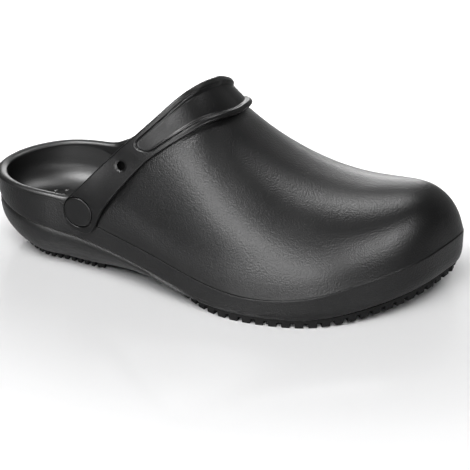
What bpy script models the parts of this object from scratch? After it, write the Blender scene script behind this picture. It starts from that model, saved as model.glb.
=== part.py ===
"""Chef clog for the right foot, moulded in foam, with a rubber tread.

The heel is at -X, the toe at +X, the outer side of the foot at -Y and the
ground at z = 0.  Every table and size is in millimetres; meshes are written
in metres.  One last, worked out from the tables, shapes the upper, the band
over the instep, the cup of the sole and the footbed.
"""
import math

import bmesh
import bpy
import numpy as np
from mathutils import Matrix, Vector

MM = 0.001

# Walls and clearances
GAP = 0.3
UPPER_WALL = 3.0
INSOLE_THICK = 3.5
INSOLE_SIDE_GAP = 0.7

# Sole heights above the ground
LUG_HIGH = 3.2
PLATE_THICK = 2.0
PLATE_GAP = 0.5
TOE_SPRING = 12.0
TOE_SPRING_FROM = 215.0
HEEL_SPRING = 10.0
HEEL_SPRING_FROM = 48.0
HEEL_SPRING_BACK = 12.0
ARCH_RISE = 2.6
ARCH_MIDDLE = 107.0
ARCH_HALF = 17.0

# Shape of the last across the foot, as powers of a rounded box
SIDE_POWER = 2.5
TOP_POWER = 2.1
TOE_POWER = 2.15
TOE_CAP_FROM = 261.0

# Collar lip round the heel
LIP_PROUD = 0.5
HEEL_LEAN = 1.7
LIP_ENDS = (58.0, 78.0)

# Mesh density: columns round the shoe, rows up the vamp outside and inside
COLUMNS = 76
VAMP_ROWS = 14
LINING_ROWS = 9
END_CROWDING = 0.06

# Round the sole from the back of the heel, by the outer side and the toe.
# name, x, y, seam with the upper z, step in the side z, lower edge z,
# inset of the lower edge, depth of the step, wall of the cup at the seam,
# lean of that wall down to its floor
STATIONS = (
    ("heel back", 4.5, 1.5, 42.3, 33.5, 15.0, 9.5, 1.2, 2.6, 4.5),
    ("heel corner outer", 14.5, -23, 43.3, 31.5, 12.5, 9.5, 1.2, 2.6, 4.5),
    ("heel outer", 41, -37, 45.0, 28.5, 6.6, 8.5, 1.2, 2.6, 4.5),
    ("side outer", 63, -39.4, 44.5, 26.0, 6.0, 8.5, 1.2, 2.6, 4.5),
    ("waist rear outer", 85, -41.6, 36.0, 23.0, 6.0, 9.0, 1.2, 2.6, 4.5),
    ("waist outer", 120, -48.5, 28.5, 16.5, 6.5, 16.0, 1.4, 2.6, 5.0),
    ("ball rear outer", 157, -56.5, 20.0, 9.0, 5.6, 3.6, 0.2, 2.2, 0.8),
    ("ball outer", 189, -60, 17.5, 11.0, 5.3, 1.6, 0.0, 1.8, 0.0),
    ("toe rear outer", 220, -54, 20.5, 12.5, 5.6, 1.6, 0.0, 1.6, 0.0),
    ("toe outer", 247.5, -38, 27.0, 17.5, 9.0, 1.8, 0.0, 1.6, 0.0),
    ("toe front outer", 271.3, -14.5, 32.3, 22.5, 13.5, 2.0, 0.0, 1.6, 0.0),
    ("toe tip", 284.6, 11, 35.0, 25.5, 16.0, 2.0, 0.0, 1.6, 0.0),
    ("toe front inner", 288, 32.4, 34.0, 25.0, 15.5, 2.0, 0.0, 1.6, 0.0),
    ("toe inner", 268.8, 47, 27.5, 19.5, 12.0, 1.8, 0.0, 1.6, 0.0),
    ("ball front inner", 231, 53, 21.5, 13.0, 6.5, 1.6, 0.0, 1.6, 0.0),
    ("ball inner", 190, 51, 19.0, 11.5, 5.3, 1.6, 0.0, 1.8, 0.0),
    ("waist front inner", 150, 43.5, 24.0, 11.5, 6.2, 6.0, 0.4, 2.4, 2.0),
    ("waist inner", 112, 38, 31.0, 19.0, 8.5, 15.0, 1.4, 2.6, 5.0),
    ("side inner", 84, 38, 37.0, 23.5, 7.0, 10.0, 1.2, 2.6, 4.5),
    ("heel inner", 58, 38, 45.0, 27.0, 6.3, 8.5, 1.2, 2.6, 4.5),
    ("heel side inner", 36, 34.8, 45.5, 29.0, 7.2, 8.5, 1.2, 2.6, 4.5),
    ("heel corner inner", 15.5, 22.5, 44.0, 31.5, 12.5, 9.5, 1.2, 2.6, 4.5),
)

# Crest of the instep, seen from the side: x, height, foot of the section
CREST = (
    (20, 134, 30),
    (95, 133, 20),
    (120, 128, 16),
    (147, 113.4, 13),
    (165, 97.7, 12),
    (180, 86.8, 11),
    (210, 72.2, 12),
    (235, 66.8, 15),
    (262, 66, 22),
    (290, 64.3, 29.5),
)

# Line of the crest between the outer side (0) and the inner side (1): x, share
CREST_LINE = ((60, 0.59), (180, 0.575), (290, 0.56))

# Top of the cup's floor under the insole: x, z
FLOOR = ((0, 21), (60, 20), (110, 16), (160, 11.5), (200, 10.5), (240, 12.5), (292, 22.5))

# Top line of the collar along the heel: name, x, outer side z, inner side z
COLLAR_HEEL = (
    ("heel back", 8, 45.8, 45.8),
    ("heel corner", 18, 46.8, 47.8),
    ("heel side", 41, 48.6, 50.2),
    ("side", 58, 49.0, 51.0),
    ("side front", 70, 50.2, 52.6),
)

# Edges of the band, from its end under the button up to the crest of the
# instep, as x and girth angle: 0 at the foot of the wall, 90 on the crest.
# The inner side of the foot has the same rows, further forward.
# name, rear x, rear angle, front x, front angle, thickness along the rear edge,
# thickness along the front edge, depth of the panel, how much further forward
# the rear edge is on the inner side, and the front edge
BAND = (
    ("end", 75.0, 3.2, 79.0, 3.2, 1.3, 1.3, 0, 0, 0),
    ("end round", 69.5, 4.4, 85.0, 4.4, 1.3, 1.3, 0, 0, 0),
    ("button low", 66.5, 7.0, 88.8, 7.4, 1.3, 1.3, 0, 0, 0),
    ("button high", 67.5, 11.0, 92.0, 11.2, 1.5, 1.5, 0, 0.5, 0.5),
    ("neck", 72.5, 14.6, 96.0, 15.0, 2.1, 2.1, 0, 2.0, 2.0),
    ("strap foot", 79.5, 18.8, 100.5, 18.6, 2.6, 2.6, 0, 4.5, 4.5),
    ("strap low", 88.0, 24.7, 107.0, 24.0, 2.8, 2.8, 0, 7.5, 7.5),
    ("hole", 96.0, 30.6, 114.0, 30.0, 2.8, 2.8, 0, 10.0, 10.0),
    ("strap", 104.0, 36.6, 121.0, 35.8, 2.8, 2.8, 0, 12.0, 12.0),
    ("panel start", 112.0, 43.0, 129.0, 42.0, 2.8, 2.8, 1.2, 13.0, 13.0),
    ("shoulder", 122.2, 53.2, 139.5, 51.8, 3.0, 2.9, 1.3, 12.5, 11.0),
    ("instep side", 130.6, 65.0, 148.0, 63.0, 4.0, 3.2, 1.5, 11.0, 8.0),
    ("instep", 137.2, 77.5, 156.0, 76.0, 5.2, 3.8, 2.2, 8.5, 4.5),
    ("crest", 142.2, 90.0, 161.3, 90.0, 6.0, 4.2, 2.6, 0, 0),
)
COLLAR_JOINS_BAND = 5

# Across the band from its rear edge to its front edge: share of the width,
# height below the full thickness, 1 where the sunk panel lies
BAND_ACROSS = (
    (0.00, 0.8, 0),
    (0.04, 0.1, 0),
    (0.15, 0.0, 0),
    (0.20, 0.0, 1),
    (0.45, 0.0, 1),
    (0.68, 0.0, 1),
    (0.73, 0.0, 0),
    (0.94, 0.0, 0),
    (1.00, 0.7, 0),
)
BAND_INNER_SHARES = (0.985, 0.74, 0.5, 0.26, 0.015)
BAND_INNER_GAP = 0.5
BAND_STATIONS = 45
BAND_ON_WALL = ((58, 52), (78, 52), (84, 45), (91, 40), (100, 37))
BAND_SLOPE_HIGH = 8.0

HOLE_PLACE = (104.0, 29.6)
HOLE_RADIUS = 2.5

BUTTON_PLACE = (77.0, 43.0)
BUTTON_RADIUS = 9.7
BUTTON_THICK = 1.6
BUTTON_BEVEL = 0.5

# Rubber treads: name, rear x, front x, cells along, share of the width where
# the cells part, inset from the foam's lower edge
TREADS = (
    ("outsole_heel", 25.0, 86.0, 11, (0, 0.3, 0.7, 1), 2.5),
    ("outsole_forefoot", 127.0, 283.0, 20, (0, 0.17, 0.5, 0.83, 1), 2.5),
)
LUG_INSET = 1.2
TREAD_CORNER = 0.06

# Colour, roughness
MATERIALS = {
    "upper_foam": ((0.022, 0.022, 0.023), 0.5),
    "band_foam": ((0.022, 0.022, 0.023), 0.4),
    "sole_foam": ((0.022, 0.022, 0.023), 0.42),
    "tread_rubber": ((0.010, 0.010, 0.010), 0.7),
    "insole_foam": ((0.030, 0.030, 0.031), 0.45),
    "button_plastic": ((0.022, 0.022, 0.023), 0.38),
}


def closed_spline(values, places):
    """Read a periodic cubic through values at 0, 1, 2 and so on."""
    values = np.asarray(values, float)
    count = len(values)
    rows = np.arange(count)
    matrix = np.zeros((count, count))
    matrix[rows, rows] = 4
    matrix[rows, (rows + 1) % count] = 1
    matrix[rows, (rows - 1) % count] = 1
    around = np.roll(values, -1, 0) - 2 * values + np.roll(values, 1, 0)
    bend = np.linalg.solve(matrix, 6 * around)
    places = np.asarray(places, float) % count
    low = np.floor(places).astype(int) % count
    high = (low + 1) % count
    part = places - np.floor(places)
    if values.ndim > 1:
        part = part[..., None]
    rest = 1 - part
    return (rest * values[low] + part * values[high]
            + (rest ** 3 - rest) * bend[low] / 6 + (part ** 3 - part) * bend[high] / 6)


def open_spline(table, x, column=1):
    """Read a natural cubic through one column of a table against its first column."""
    table = np.asarray(table, float)
    xs, ys = table[:, 0], table[:, column]
    count = len(xs)
    step = np.diff(xs)
    matrix = np.eye(count)
    right = np.zeros(count)
    for i in range(1, count - 1):
        matrix[i, i - 1:i + 2] = step[i - 1], 2 * (step[i - 1] + step[i]), step[i]
        right[i] = 6 * ((ys[i + 1] - ys[i]) / step[i] - (ys[i] - ys[i - 1]) / step[i - 1])
    bend = np.linalg.solve(matrix, right)
    x = np.clip(x, xs[0], xs[-1])
    low = np.clip(np.searchsorted(xs, x) - 1, 0, count - 2)
    before = (xs[low + 1] - x) / step[low]
    after = (x - xs[low]) / step[low]
    return (before * ys[low] + after * ys[low + 1]
            + ((before ** 3 - before) * bend[low]
               + (after ** 3 - after) * bend[low + 1]) * step[low] ** 2 / 6)


def smooth_step(x, start, end):
    """Rise smoothly from 0 at start to 1 at end."""
    share = np.clip((np.asarray(x, float) - start) / (end - start), 0, 1)
    return share * share * (3 - 2 * share)


def lengths(points):
    """Distance along a polyline at each of its points."""
    steps = np.linalg.norm(np.diff(points, axis=0), axis=1)
    return np.concatenate([[0], np.cumsum(steps)])


def along(points, wanted):
    """Read a polyline at the wanted distances along it."""
    length = lengths(points)
    return np.stack([np.interp(wanted, length, points[:, k])
                     for k in range(points.shape[1])], axis=1)


def spaced(points, count):
    """Return count points along a polyline, somewhat closer together at its two ends."""
    share = np.linspace(0, 1, count)
    share -= END_CROWDING * np.sin(2 * np.pi * share)
    return along(points, share * lengths(points)[-1])


STATION_TABLE = np.array([row[1:] for row in STATIONS], float)
SEAM, STEP, EDGE, EDGE_INSET, STEP_DEPTH, CUP_WALL, CUP_LEAN = range(2, 9)
FINE = 3800


def station_value(column, places):
    """Read one column of the stations at places round the sole."""
    return closed_spline(STATION_TABLE[:, column], places)


def outline(places, inset=0.0):
    """Return plan points of the sole's widest line, moved inwards by inset."""
    nudge = 0.01
    line = STATION_TABLE[:, :2]
    places = np.asarray(places, float)
    heading = closed_spline(line, places + nudge) - closed_spline(line, places - nudge)
    heading /= np.linalg.norm(heading, axis=-1, keepdims=True)
    inwards = np.stack([-heading[..., 1], heading[..., 0]], axis=-1)
    inset = np.broadcast_to(np.asarray(inset, float), places.shape)
    return closed_spline(line, places) + inwards * inset[..., None]


def sides_of(inset_of):
    """Places and plan points of the two sides of an inset outline, heel to toe tip."""
    dense = np.arange(FINE) * len(STATIONS) / FINE
    loop = outline(dense, inset_of(dense))
    tip = int(loop[:, 0].argmax())
    back = int(loop[:, 0].argmin())
    outer = np.arange(back - FINE if back > tip else back, tip + 1)
    inner = np.arange(tip, outer[0] + FINE + 1)[::-1]
    return [(rows * len(STATIONS) / FINE, loop[rows % FINE]) for rows in (outer, inner)]


def last_inset(places):
    """Distance from the sole's outline to the outside of the upper."""
    return station_value(CUP_WALL, places) + GAP


SOLE_SIDES = sides_of(lambda places: 0.0 * places)
LAST_SIDES = sides_of(last_inset)
LAST_TOE = LAST_SIDES[0][1][-1, 0]


def section(x):
    """Return crest y, outer half width, inner half width, foot z and height at x."""
    x = np.asarray(x, float)
    outer, inner = (np.interp(x, side[:, 0], side[:, 1]) for _, side in LAST_SIDES)
    crest_y = outer + open_spline(CREST_LINE, x) * (inner - outer)
    foot = open_spline(CREST, x, 2)
    into_toe = np.clip((x - TOE_CAP_FROM) / (LAST_TOE - TOE_CAP_FROM), 0, 1)
    cap = (1 - into_toe ** TOE_POWER) ** (1 / TOE_POWER)
    high = (open_spline(CREST, x, 1) - foot) * cap
    return crest_y, crest_y - outer, inner - crest_y, foot, high


def last_point(x, angle):
    """Point of the last at x and a girth angle, 0 outer foot, 90 crest, 180 inner foot."""
    crest_y, outer, inner, foot, high = section(x)
    turn = np.radians(angle)
    across = np.abs(np.cos(turn)) ** (2 / SIDE_POWER)
    up = np.sin(turn) ** (2 / TOP_POWER)
    y = np.where(np.cos(turn) > 0, crest_y - outer * across, crest_y + inner * across)
    return np.stack([np.broadcast_to(x, y.shape), y, foot + high * up], axis=-1)


def fullness(points):
    """1 on the outside of the last, less inside it, more outside it."""
    crest_y, outer, inner, foot, high = section(points[..., 0])
    half = np.where(points[..., 1] < crest_y, outer, inner)
    across = np.abs(points[..., 1] - crest_y) / np.maximum(half, 0.5)
    up = np.maximum(points[..., 2] - foot, 0.0) / np.maximum(high, 0.5)
    return across, up


def snap(points):
    """Move points, within their own cross section, onto the outside of the last."""
    points = np.array(points, float)
    crest_y, _, _, foot, _ = section(points[..., 0])
    across, up = fullness(points)
    low = np.full(across.shape, 0.01)
    far = np.full(across.shape, 30.0)
    for _ in range(40):
        middle = (low + far) / 2
        outside = (middle * across) ** SIDE_POWER + (middle * up) ** TOP_POWER > 1
        far = np.where(outside, middle, far)
        low = np.where(outside, low, middle)
    points[..., 1] = crest_y + (points[..., 1] - crest_y) * low
    points[..., 2] = foot + (points[..., 2] - foot) * low
    return points


def last_normal(points):
    """Outward direction of the last at points of its outside."""
    nudge = 0.5

    def depth(places):
        across, up = fullness(places)
        return across ** SIDE_POWER + up ** TOP_POWER

    normal = np.stack([depth(points + nudge * axis) - depth(points - nudge * axis)
                       for axis in np.eye(3)], axis=-1)
    return normal / np.linalg.norm(normal, axis=-1, keepdims=True)


def lift(x):
    """Rise of the walking surface at the toe and at the back of the heel."""
    x = np.asarray(x, float)
    toe = np.clip((x - TOE_SPRING_FROM) / (LAST_TOE - TOE_SPRING_FROM), 0, 1.1)
    heel = np.clip((HEEL_SPRING_FROM - x) / (HEEL_SPRING_FROM - HEEL_SPRING_BACK), 0, 1.2)
    return TOE_SPRING * toe ** 1.7 + HEEL_SPRING * heel ** 1.6


def sole_under(x):
    """Underside of the foam sole, with the arch between heel and ball."""
    arch = np.clip(1 - ((np.asarray(x, float) - ARCH_MIDDLE) / ARCH_HALF) ** 2, 0, 1)
    return lift(x) + LUG_HIGH + PLATE_THICK + PLATE_GAP + ARCH_RISE * arch ** 2


def floor_of_cup(x):
    """Top of the foam sole inside the cup."""
    return open_spline(FLOOR, x)


class Columns:
    """Places round the sole, each with its own point on the collar."""

    def __init__(self, count):
        self.count = count
        half = count // 2
        places, collar = [], []
        for side, (side_places, side_points) in enumerate(SOLE_SIDES):
            length = lengths(side_points)
            wanted = np.linspace(0, length[-1], half + 1)
            top = collar_side(side)
            top_length = lengths(top)
            split = np.interp(84.0, side_points[:, 0], length)
            top_split = np.interp(79.0, top[:, 0], top_length)
            matched = np.interp(wanted, (0, split, length[-1]), (0, top_split, top_length[-1]))
            place = np.interp(wanted, length, side_places)
            point = along(top, matched)
            if side:
                place, point = place[::-1], point[::-1]
            places.append(place[:-1])
            collar.append(point[:-1])
        self.places = np.concatenate(places)
        self.collar = np.concatenate(collar)
        self.x = outline(self.places)[:, 0]
        self.lip = 1 - smooth_step(self.x, *LIP_ENDS)

    def ring(self, inset, z):
        """Points at one inset and height, each a number or one value a column."""
        plan = outline(self.places, inset)
        if callable(z):
            z = z(plan[:, 0])
        return np.column_stack([plan, np.broadcast_to(z, self.count)])

    def value(self, column):
        return station_value(column, self.places)


def collar_side(side):
    """Dense top line of one side, 0 outer or 1 inner, from heel back to crest."""
    rings = []
    for each in (0, 1):
        side_x, side_y = LAST_SIDES[each][1].T
        heel = [(row[1], np.interp(row[1], side_x, side_y), row[2 + each])
                for row in COLLAR_HEEL]
        heel[0] = (COLLAR_HEEL[0][1], STATIONS[0][2], COLLAR_HEEL[0][2])
        edge = band_edges()[::-1 if each else 1][COLLAR_JOINS_BAND:len(BAND)]
        rings.append(np.concatenate([heel, last_point(edge[:, 1], edge[:, 2])]))
    ring = np.concatenate([rings[0], rings[1][-2:0:-1]])
    steps = np.linspace(0, len(rings[0]) - 1, 801)
    return closed_spline(ring, -steps if side else steps)


def wall_path(start, end, bottom):
    """Path over the outside of the last from a seam point to a collar point."""
    share = np.linspace(0.03, 1, 160)[:, None] ** 2
    path = snap(start + share * (end - start))
    path = path[path[:, 2] > bottom + 0.6]
    return np.concatenate([[start], path])


def ellipse_arc(inset, z, reach_inset, reach_z, start, end, count):
    """Inset and height of an arc; at 90 degrees it is at its top."""
    turn = np.radians(np.linspace(start, end, count))[:, None]
    return inset - reach_inset * np.cos(turn), z + reach_z * np.sin(turn)


def grid_normals(grid):
    """Outward directions of a grid of points, columns round and rows up."""
    round_it = np.roll(grid, -1, 0) - np.roll(grid, 1, 0)
    up_it = np.gradient(grid, axis=1)
    normal = np.cross(round_it, up_it)
    return normal / np.linalg.norm(normal, axis=-1, keepdims=True)


def upper_faces(columns, rows, lining_rows):
    """Outside and lining of the upper: grids of columns by rows, seam to collar."""
    seam = columns.value(SEAM) + GAP
    inset = last_inset(columns.places)
    foot = columns.ring(inset, seam)
    outside, lining = [], []
    for j in range(columns.count):
        path = wall_path(foot[j], snap(columns.collar[j]), seam[j])
        outside.append(spaced(path, rows + 1))
        lining.append(spaced(path, lining_rows + 1))
    outside, lining = np.array(outside), np.array(lining)
    lining = lining - UPPER_WALL * grid_normals(lining)
    top = (outside[:, -1] + lining[:, -1]) / 2 + (0, 0, 0.5)

    collar_z = columns.collar[:, 2]
    lip_in = inset + UPPER_WALL
    lip_out = HEEL_LEAN - LIP_PROUD
    centre = (lip_in + lip_out) / 2
    reach = (lip_in - lip_out) / 2
    side_z = np.maximum(collar_z - 3.2, seam + 0.3)
    low = np.linspace(0, 1, rows // 3, endpoint=False)[:, None]
    arc_inset, arc_z = ellipse_arc(centre, side_z, reach, collar_z - side_z, 0, 72,
                                   rows - rows // 3)
    lip_inset = np.concatenate([0 * low + lip_out + 0 * inset, arc_inset])
    lip_z = np.concatenate([seam + low * (side_z - seam), arc_z])
    back_inset, back_z = ellipse_arc(centre, side_z, reach, collar_z - side_z, 108, 180, 3)
    down = np.linspace(0, 1, lining_rows - 1)[1:, None]
    back_inset = np.concatenate([back_inset, 0 * down + lip_in])
    back_z = np.concatenate([back_z, side_z + down * (seam - side_z)])
    lip_outside = np.stack([foot] + [columns.ring(i, z) for i, z in zip(lip_inset, lip_z)], 1)
    lip_lining = np.stack([columns.ring(i, z) for i, z in zip(back_inset, back_z)], 1)[:, ::-1]
    lip_top = columns.ring(centre, collar_z)

    weight = columns.lip[:, None, None]
    outside = weight * lip_outside + (1 - weight) * outside
    lining = weight * lip_lining + (1 - weight) * lining
    top = weight[:, 0] * lip_top + (1 - weight[:, 0]) * top
    return outside, lining, top


def material(name):
    """One Principled material, with its colour and roughness from the table."""
    made = bpy.data.materials.get(name)
    if made:
        return made
    colour, rough = MATERIALS[name]
    made = bpy.data.materials.new(name)
    made.use_nodes = True
    made.diffuse_color = (*colour, 1)
    shader = made.node_tree.nodes["Principled BSDF"]
    shader.inputs["Base Color"].default_value = (*colour, 1)
    shader.inputs["Roughness"].default_value = rough
    shader.inputs["Metallic"].default_value = 0
    return made


def add_object(name, mesh_data, material_name):
    """Turn a bmesh in millimetres into an object in metres, smooth but for its edges."""
    bmesh.ops.scale(mesh_data, vec=(MM, MM, MM), verts=mesh_data.verts)
    if mesh_data.calc_volume(signed=True) < 0:
        bmesh.ops.reverse_faces(mesh_data, faces=mesh_data.faces)
    mesh = bpy.data.meshes.new(name)
    mesh_data.to_mesh(mesh)
    mesh_data.free()
    mesh.shade_smooth()
    mesh.set_sharp_from_angle(angle=math.radians(38))
    mesh.materials.append(material(material_name))
    made = bpy.data.objects.new(name, mesh)
    bpy.context.scene.collection.objects.link(made)
    return made


def ring_faces(mesh_data, lower, upper_ring):
    """Join two rings of vertices with quads."""
    count = len(lower)
    for j in range(count):
        after = (j + 1) % count
        mesh_data.faces.new((lower[j], lower[after], upper_ring[after], upper_ring[j]))


def zip_faces(mesh_data, ring, flip):
    """Close a ring from side to side, outer column j to its partner on the inner side."""
    count = len(ring)
    for j in range(count // 2):
        corners = [ring[j], ring[j + 1], ring[count - j - 1], ring[(count - j) % count]]
        corners = list(dict.fromkeys(corners))
        mesh_data.faces.new(corners[::-1] if flip else corners)


def towards_middle(ring, share, z_of, keep=(26.0, 24.0)):
    """Move a ring towards the shoe's long middle line and read its new height."""
    half = len(ring) // 2
    partner = np.roll(ring[::-1], 1, axis=0)
    low_x = ring[0, 0] + keep[0]
    high_x = ring[half, 0] - keep[1]
    middle_x = np.clip((ring[:, 0] + partner[:, 0]) / 2, low_x, high_x)
    middle_y = (ring[:, 1] + partner[:, 1]) / 2
    order = np.argsort(middle_x[1:half]) + 1
    middle_y[0] = middle_y[order[0]]
    middle_y[half] = middle_y[order[-1]]
    moved = ring.copy()
    moved[:, 0] += share * (middle_x - ring[:, 0])
    moved[:, 1] += share * (middle_y - ring[:, 1])
    moved[:, 2] = z_of(moved[:, 0])
    return moved


def closed_shell(rings):
    """Body of rings of points, closed from side to side at its first and last ring."""
    mesh_data = bmesh.new()
    verts = [[mesh_data.verts.new(point) for point in ring] for ring in rings]
    for lower, higher in zip(verts, verts[1:]):
        ring_faces(mesh_data, lower, higher)
    zip_faces(mesh_data, verts[0], True)
    zip_faces(mesh_data, verts[-1], False)
    return mesh_data


def make_upper(columns):
    """Hollow shell of the upper, open at the collar and underneath."""
    outside, lining, top = upper_faces(columns, VAMP_ROWS, LINING_ROWS)
    lean = columns.value(CUP_LEAN)
    inset = last_inset(columns.places)
    bottom_out = columns.ring(inset + lean, lambda x: floor_of_cup(x) + GAP)
    bottom_in = columns.ring(inset + lean + UPPER_WALL, lambda x: floor_of_cup(x) + GAP)
    rings = [bottom_out]
    rings += [outside[:, k] for k in range(outside.shape[1])]
    rings.append(top)
    rings += [lining[:, k] for k in range(lining.shape[1])][::-1]
    rings.append(bottom_in)
    mesh_data = bmesh.new()
    verts = [[mesh_data.verts.new(point) for point in ring] for ring in rings]
    for lower, higher in zip(verts, verts[1:] + verts[:1]):
        ring_faces(mesh_data, lower, higher)
    return add_object("upper", mesh_data, "upper_foam")


def make_midsole(columns):
    """Foam cup: floor, wall up to the seam, stepped side and tapered heel block."""
    seam, step, edge = (columns.value(k) for k in (SEAM, STEP, EDGE))
    edge_inset, depth = (columns.value(k) for k in (EDGE_INSET, STEP_DEPTH))
    depth = np.maximum(depth, 0)
    wall, lean = columns.value(CUP_WALL), columns.value(CUP_LEAN)
    block = step - edge
    floor_ring = columns.ring(wall + lean, floor_of_cup)
    rings = [
        towards_middle(floor_ring, 0.55, floor_of_cup),
        floor_ring,
        columns.ring(wall, seam),
        columns.ring(0.5 + HEEL_LEAN * columns.lip, seam - 0.5),
        columns.ring(HEEL_LEAN * columns.lip, seam - 1.8),
        columns.ring(0.0, step + 0.8),
        columns.ring(depth, step - 0.2),
        columns.ring(depth + 0.2 * (edge_inset - depth), step - 0.45 * block),
        columns.ring(depth + 0.55 * (edge_inset - depth), step - 0.8 * block),
        columns.ring(edge_inset, edge),
    ]
    under_ring = columns.ring(edge_inset + 2.2, sole_under)
    rings += [under_ring, towards_middle(under_ring, 0.55, sole_under)]
    return add_object("midsole", closed_shell(rings), "sole_foam")


def make_insole(columns):
    """Footbed that lies on the floor of the cup, a little raised along its edge."""
    side = last_inset(columns.places) + columns.value(CUP_LEAN) + UPPER_WALL + INSOLE_SIDE_GAP

    def at(height):
        return lambda x: floor_of_cup(x) + GAP + height

    base = columns.ring(side, at(0))
    rings = [
        towards_middle(base, 0.55, at(0)),
        base,
        columns.ring(side, at(INSOLE_THICK + 0.4)),
        columns.ring(side + 1.2, at(INSOLE_THICK + 1.4)),
        columns.ring(side + 9.0, at(INSOLE_THICK)),
    ]
    rings.append(towards_middle(rings[-1], 0.55, at(INSOLE_THICK)))
    return add_object("insole", closed_shell(rings), "insole_foam")


def wall_offset(points):
    """How far off the last the band lies, where its end rides on the sole's wall."""
    x, y, z = (points[..., k] for k in range(3))
    crest_y = section(x)[0]
    outer, inner = (np.interp(x, side[:, 0], side[:, 1]) for _, side in SOLE_SIDES)
    to_wall = np.where(y < crest_y, y - outer, inner - y)
    on_wall = 1 - smooth_step(z - np.interp(x, *np.array(BAND_ON_WALL).T), 0, BAND_SLOPE_HIGH)
    return BAND_INNER_GAP + on_wall * (np.maximum(to_wall, 0) + LIP_PROUD)


def band_edges():
    """Rows of the band table for both sides, outer end to inner end."""
    rows = np.array([row[1:] for row in BAND], float)
    mirrored = rows[-2::-1].copy()
    mirrored[:, (1, 3)] = 180 - mirrored[:, (1, 3)]
    mirrored[:, (0, 2)] += mirrored[:, 7:9]
    rows = np.concatenate([rows, mirrored])
    return np.column_stack([np.arange(len(rows)), rows])


def band_point(place, share, height):
    """Point of the band at a place along it, a share of its width and a height."""
    table = band_edges()
    rear_x, rear_angle, front_x, front_angle, rear_thick, front_thick = (
        open_spline(table, place, k) for k in range(1, 7))
    x = rear_x + share * (front_x - rear_x)
    base = last_point(x, rear_angle + share * (front_angle - rear_angle))
    thick = rear_thick + share * (front_thick - rear_thick)
    off = wall_offset(base) + np.where(height < 0, 0, thick - height)
    return base + last_normal(base) * off[..., None]


def make_band():
    """Raised band over the instep, with its sunk panel, edges and end faces."""
    table = band_edges()
    places = np.linspace(0, len(table) - 1, BAND_STATIONS)
    panel = np.interp(places, table[:, 0], table[:, 7])
    rings = []
    for share in BAND_INNER_SHARES:
        rings.append(band_point(places, share, np.full(BAND_STATIONS, -1.0)))
    for share, below, sunk in BAND_ACROSS:
        rings.append(band_point(places, share, below + sunk * panel))
    mesh_data = bmesh.new()
    verts = [[mesh_data.verts.new(ring[k]) for ring in rings] for k in range(BAND_STATIONS)]
    for lower, higher in zip(verts, verts[1:]):
        ring_faces(mesh_data, lower, higher)
    mesh_data.faces.new(verts[0][::-1])
    mesh_data.faces.new(verts[-1])
    band = add_object("instep_band", mesh_data, "band_foam")
    for side in (0, 1):
        x, angle = HOLE_PLACE
        point = last_point(np.array(x), 180 - angle if side else angle)
        cutter = turned_cylinder("hole_cutter", point, last_normal(point), HOLE_RADIUS, -4, 8, 16)
        cutter.hide_render = True
        cutter.display_type = "WIRE"
        cut = band.modifiers.new("hole", "BOOLEAN")
        cut.operation = "DIFFERENCE"
        cut.solver = "EXACT"
        cut.object = cutter
    return band


def turned_cylinder(name, point, axis, radius, low, high, sides, bevel=0.0):
    """Cylinder along an axis through a point, from low to high above the point."""
    mesh_data = bmesh.new()
    bmesh.ops.create_cone(mesh_data, cap_ends=True, segments=sides, radius1=radius,
                          radius2=radius, depth=high - low)
    bmesh.ops.translate(mesh_data, vec=(0, 0, (low + high) / 2), verts=mesh_data.verts)
    if bevel:
        top = [edge for edge in mesh_data.edges
               if all(vert.co.z > high - 0.001 for vert in edge.verts)]
        bmesh.ops.bevel(mesh_data, geom=top, offset=bevel, segments=2, profile=0.5,
                        affect="EDGES", material=-1)
    turn = Vector(axis).to_track_quat("Z", "Y").to_matrix().to_4x4()
    bmesh.ops.transform(mesh_data, matrix=Matrix.Translation(Vector(point)) @ turn,
                        verts=mesh_data.verts)
    return add_object(name, mesh_data, "button_plastic")


def make_button(name, side):
    """Round cap that lies on the end of the band."""
    x, z = BUTTON_PLACE
    _, _, _, foot, high = section(np.array(x))
    angle = math.degrees(math.asin(((z - foot) / high) ** (TOP_POWER / 2)))
    point = last_point(np.array(x), 180 - angle if side else angle)
    axis = last_normal(point)
    places = np.linspace(0, COLLAR_JOINS_BAND, 24)
    if side:
        places = 2 * (len(BAND) - 1) - places
    covered = np.concatenate([band_point(places, share, np.zeros(24))
                              for share in np.linspace(0, 1, 9)])
    from_point = covered - point
    height = from_point @ axis
    radial = np.linalg.norm(from_point - height[:, None] * axis, axis=1)
    base = height[radial < BUTTON_RADIUS + 1].max() + GAP
    return turned_cylinder(name, point, axis, BUTTON_RADIUS, base, base + BUTTON_THICK, 28,
                           BUTTON_BEVEL)


def tread_sides(rear, front, cells, inset):
    """Outer and inner points of a tread at each row across, corners eased."""
    def low_edge(places):
        return station_value(EDGE_INSET, places) + inset

    x = np.linspace(rear, front, cells + 1)
    outer, inner = (np.interp(x, side[:, 0], side[:, 1]) for _, side in sides_of(low_edge))
    share = np.abs(np.linspace(-1, 1, cells + 1))
    ease = TREAD_CORNER * share ** 12 * (inner - outer)
    return x, outer + ease, inner - ease


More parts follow.
